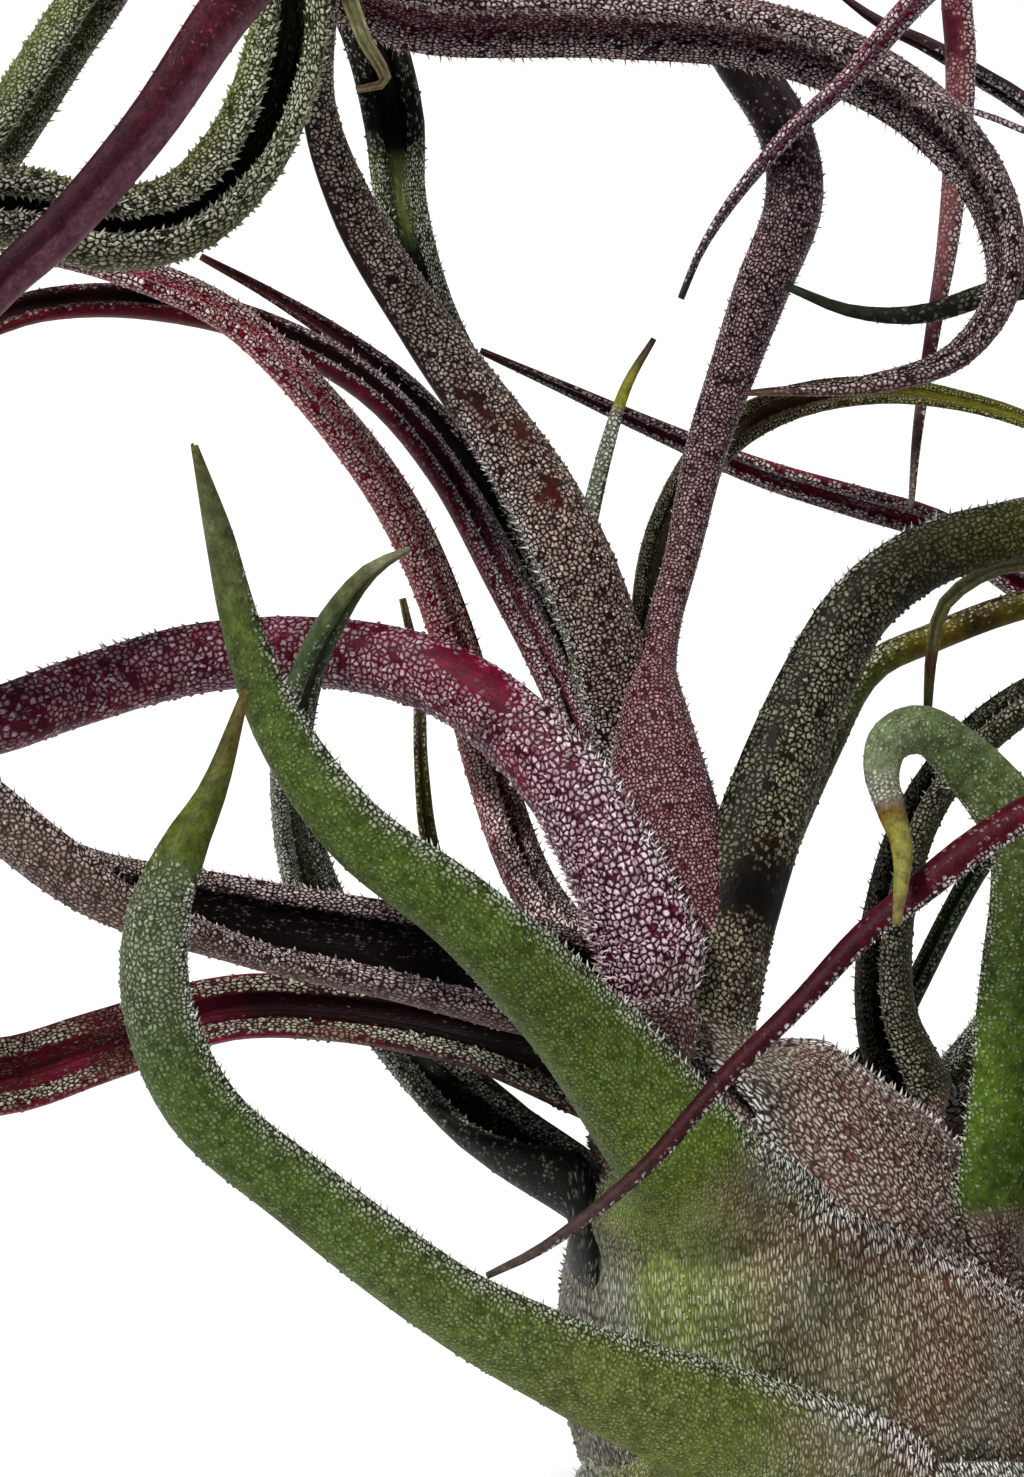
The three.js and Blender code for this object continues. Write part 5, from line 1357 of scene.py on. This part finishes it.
def heart_mesh():
    rows = int((HEART_TOP - HEART_LOW) / HEART_STEP) + 1
    heights = [HEART_LOW + HEART_STEP * i for i in range(rows)]
    narrower, stretch = OUTER_SHEATH
    vertices = []
    stored = {name: [] for name in STORED}

    def add(p, tissue, scaled, skin):
        q = p - FLAT_SPOT
        scaled *= smoothstep(*FLOOR_FADE, q.z)
        q.z = max(q.z, 0.0)
        vertices.append(q * MM)
        values = dict(
            tissue=(*tissue, 1.0), tint=(*colour(BEIGE), 1.0), scaled=scaled, stance=HEART_STANCE,
            hairy=0.0, toward=AXIS.copy(), fineness=1.0, skin=skin,
        )
        for name in STORED:
            stored[name].append(values[name])

    for height in heights:
        tone = colour(DRY_TONE).lerp(colour(FRESH_TONE), smoothstep(3, 16, height))
        for i in range(HEART_SIDES):
            angle = 2 * math.pi * i / HEART_SIDES
            radius, wrinkle = heart_radius(height, angle)
            covered = is_covered({}, math.degrees(angle), height)
            skin_place = (narrower * radius * angle, (1 - stretch) * height, 0.0)
            add(axis_point(height) + outwards(angle) * (radius + wrinkle), tone,
                0.0 if covered else HEART_SCALED, skin_place)
    for height in (HEART_LOW, heights[-1] + 2):
        add(axis_point(height), colour(DRY_TONE), 0.0, (0.0, 0.0, 0.0))
    return finished_mesh("heart_body", vertices, lathe_faces(rows, HEART_SIDES), stored)


heart = dressed_object("bulb_heart_scaled", heart_mesh(), HEART_SEED, SPACING * HEART_SPACING)
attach(heart, "root")
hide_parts("bulb_heart")
print("heart:", len(heart.data.polygons), "faces")

# %% [markdown]
# ## Floor, light and camera
# A pale floor that runs far past the edges of the picture, a sun from the upper left whose
# shadows are a little soft, a weak round lamp from behind on the right, and a faint white sky.
# The camera stands where the paths were read from.

# %% Floor
FLOOR_REACH = 60  # metres from the middle to each side
FLOOR_GREY = 0.95

floor_mesh = bpy.data.meshes.new("floor")
corners = [(-1, -1), (1, -1), (1, 1), (-1, 1)]
floor_mesh.from_pydata([(x * FLOOR_REACH, y * FLOOR_REACH, 0) for x, y in corners], [], [(0, 1, 2, 3)])
floor = bpy.data.objects.new("floor", floor_mesh)
bpy.context.scene.collection.objects.link(floor)
floor_material, tree = new_material("pale_floor")
paint = node(tree, "ShaderNodeBsdfPrincipled",
             {"Base Color": (FLOOR_GREY, FLOOR_GREY, FLOOR_GREY, 1), "Roughness": 0.9})
node(tree, "ShaderNodeOutputMaterial", {"Surface": paint.outputs[0]})
floor_mesh.materials.append(floor_material)
print("floor:", 2 * FLOOR_REACH, "m wide")

# %% Lights
SKY_STRENGTH = 0.25
SUN_STRENGTH = 3.2
SUN_WIDTH = math.radians(9)
SUN_WAY = Vector((0.4, 0.38, -0.76))
LAMP_WATTS = 3.0
LAMP_WIDTH = 0.4
LAMP_PLACE = Vector((0.55, 0.35, 0.6))  # metres from the middle of the picture

world = bpy.data.worlds.new("sky")
bpy.context.scene.world = world
world.use_nodes = True
sky = world.node_tree.nodes["Background"]
sky.inputs["Color"].default_value = (1, 1, 1, 1)
sky.inputs["Strength"].default_value = SKY_STRENGTH
bpy.context.scene.view_settings.view_transform = "Standard"


def add_light(name, kind, energy, place, way):
    data = bpy.data.lights.new(name, kind)
    data.energy = energy
    made = bpy.data.objects.new(name, data)
    made.location = place
    made.rotation_euler = way.to_track_quat("-Z", "Y").to_euler()
    bpy.context.scene.collection.objects.link(made)
    return made


middle = (READ_CENTRE - FLAT_SPOT) * MM
sun = add_light("sun", "SUN", SUN_STRENGTH, middle, SUN_WAY)
sun.data.angle = SUN_WIDTH
lamp_place = middle + LAMP_PLACE
lamp = add_light("lamp", "AREA", LAMP_WATTS, lamp_place, middle - lamp_place)
lamp.data.shape = "DISK"
lamp.data.size = LAMP_WIDTH
print("lights:", sun.name, lamp.name)

# %% Camera
FOCAL_LENGTH = 162.5
SENSOR_WIDTH = 36

lens = bpy.data.cameras.new("camera")
lens.lens = FOCAL_LENGTH
lens.sensor_width = SENSOR_WIDTH
lens.dof.use_dof = False
camera = bpy.data.objects.new("camera", lens)
away = READ_DISTANCE * MM
camera.location = middle + Vector((0, -math.cos(READ_TILT), math.sin(READ_TILT))) * away
camera.rotation_euler = (math.pi / 2 - READ_TILT, 0, 0)
bpy.context.scene.collection.objects.link(camera)
bpy.context.scene.camera = camera
print("camera, metres from the middle:", away)
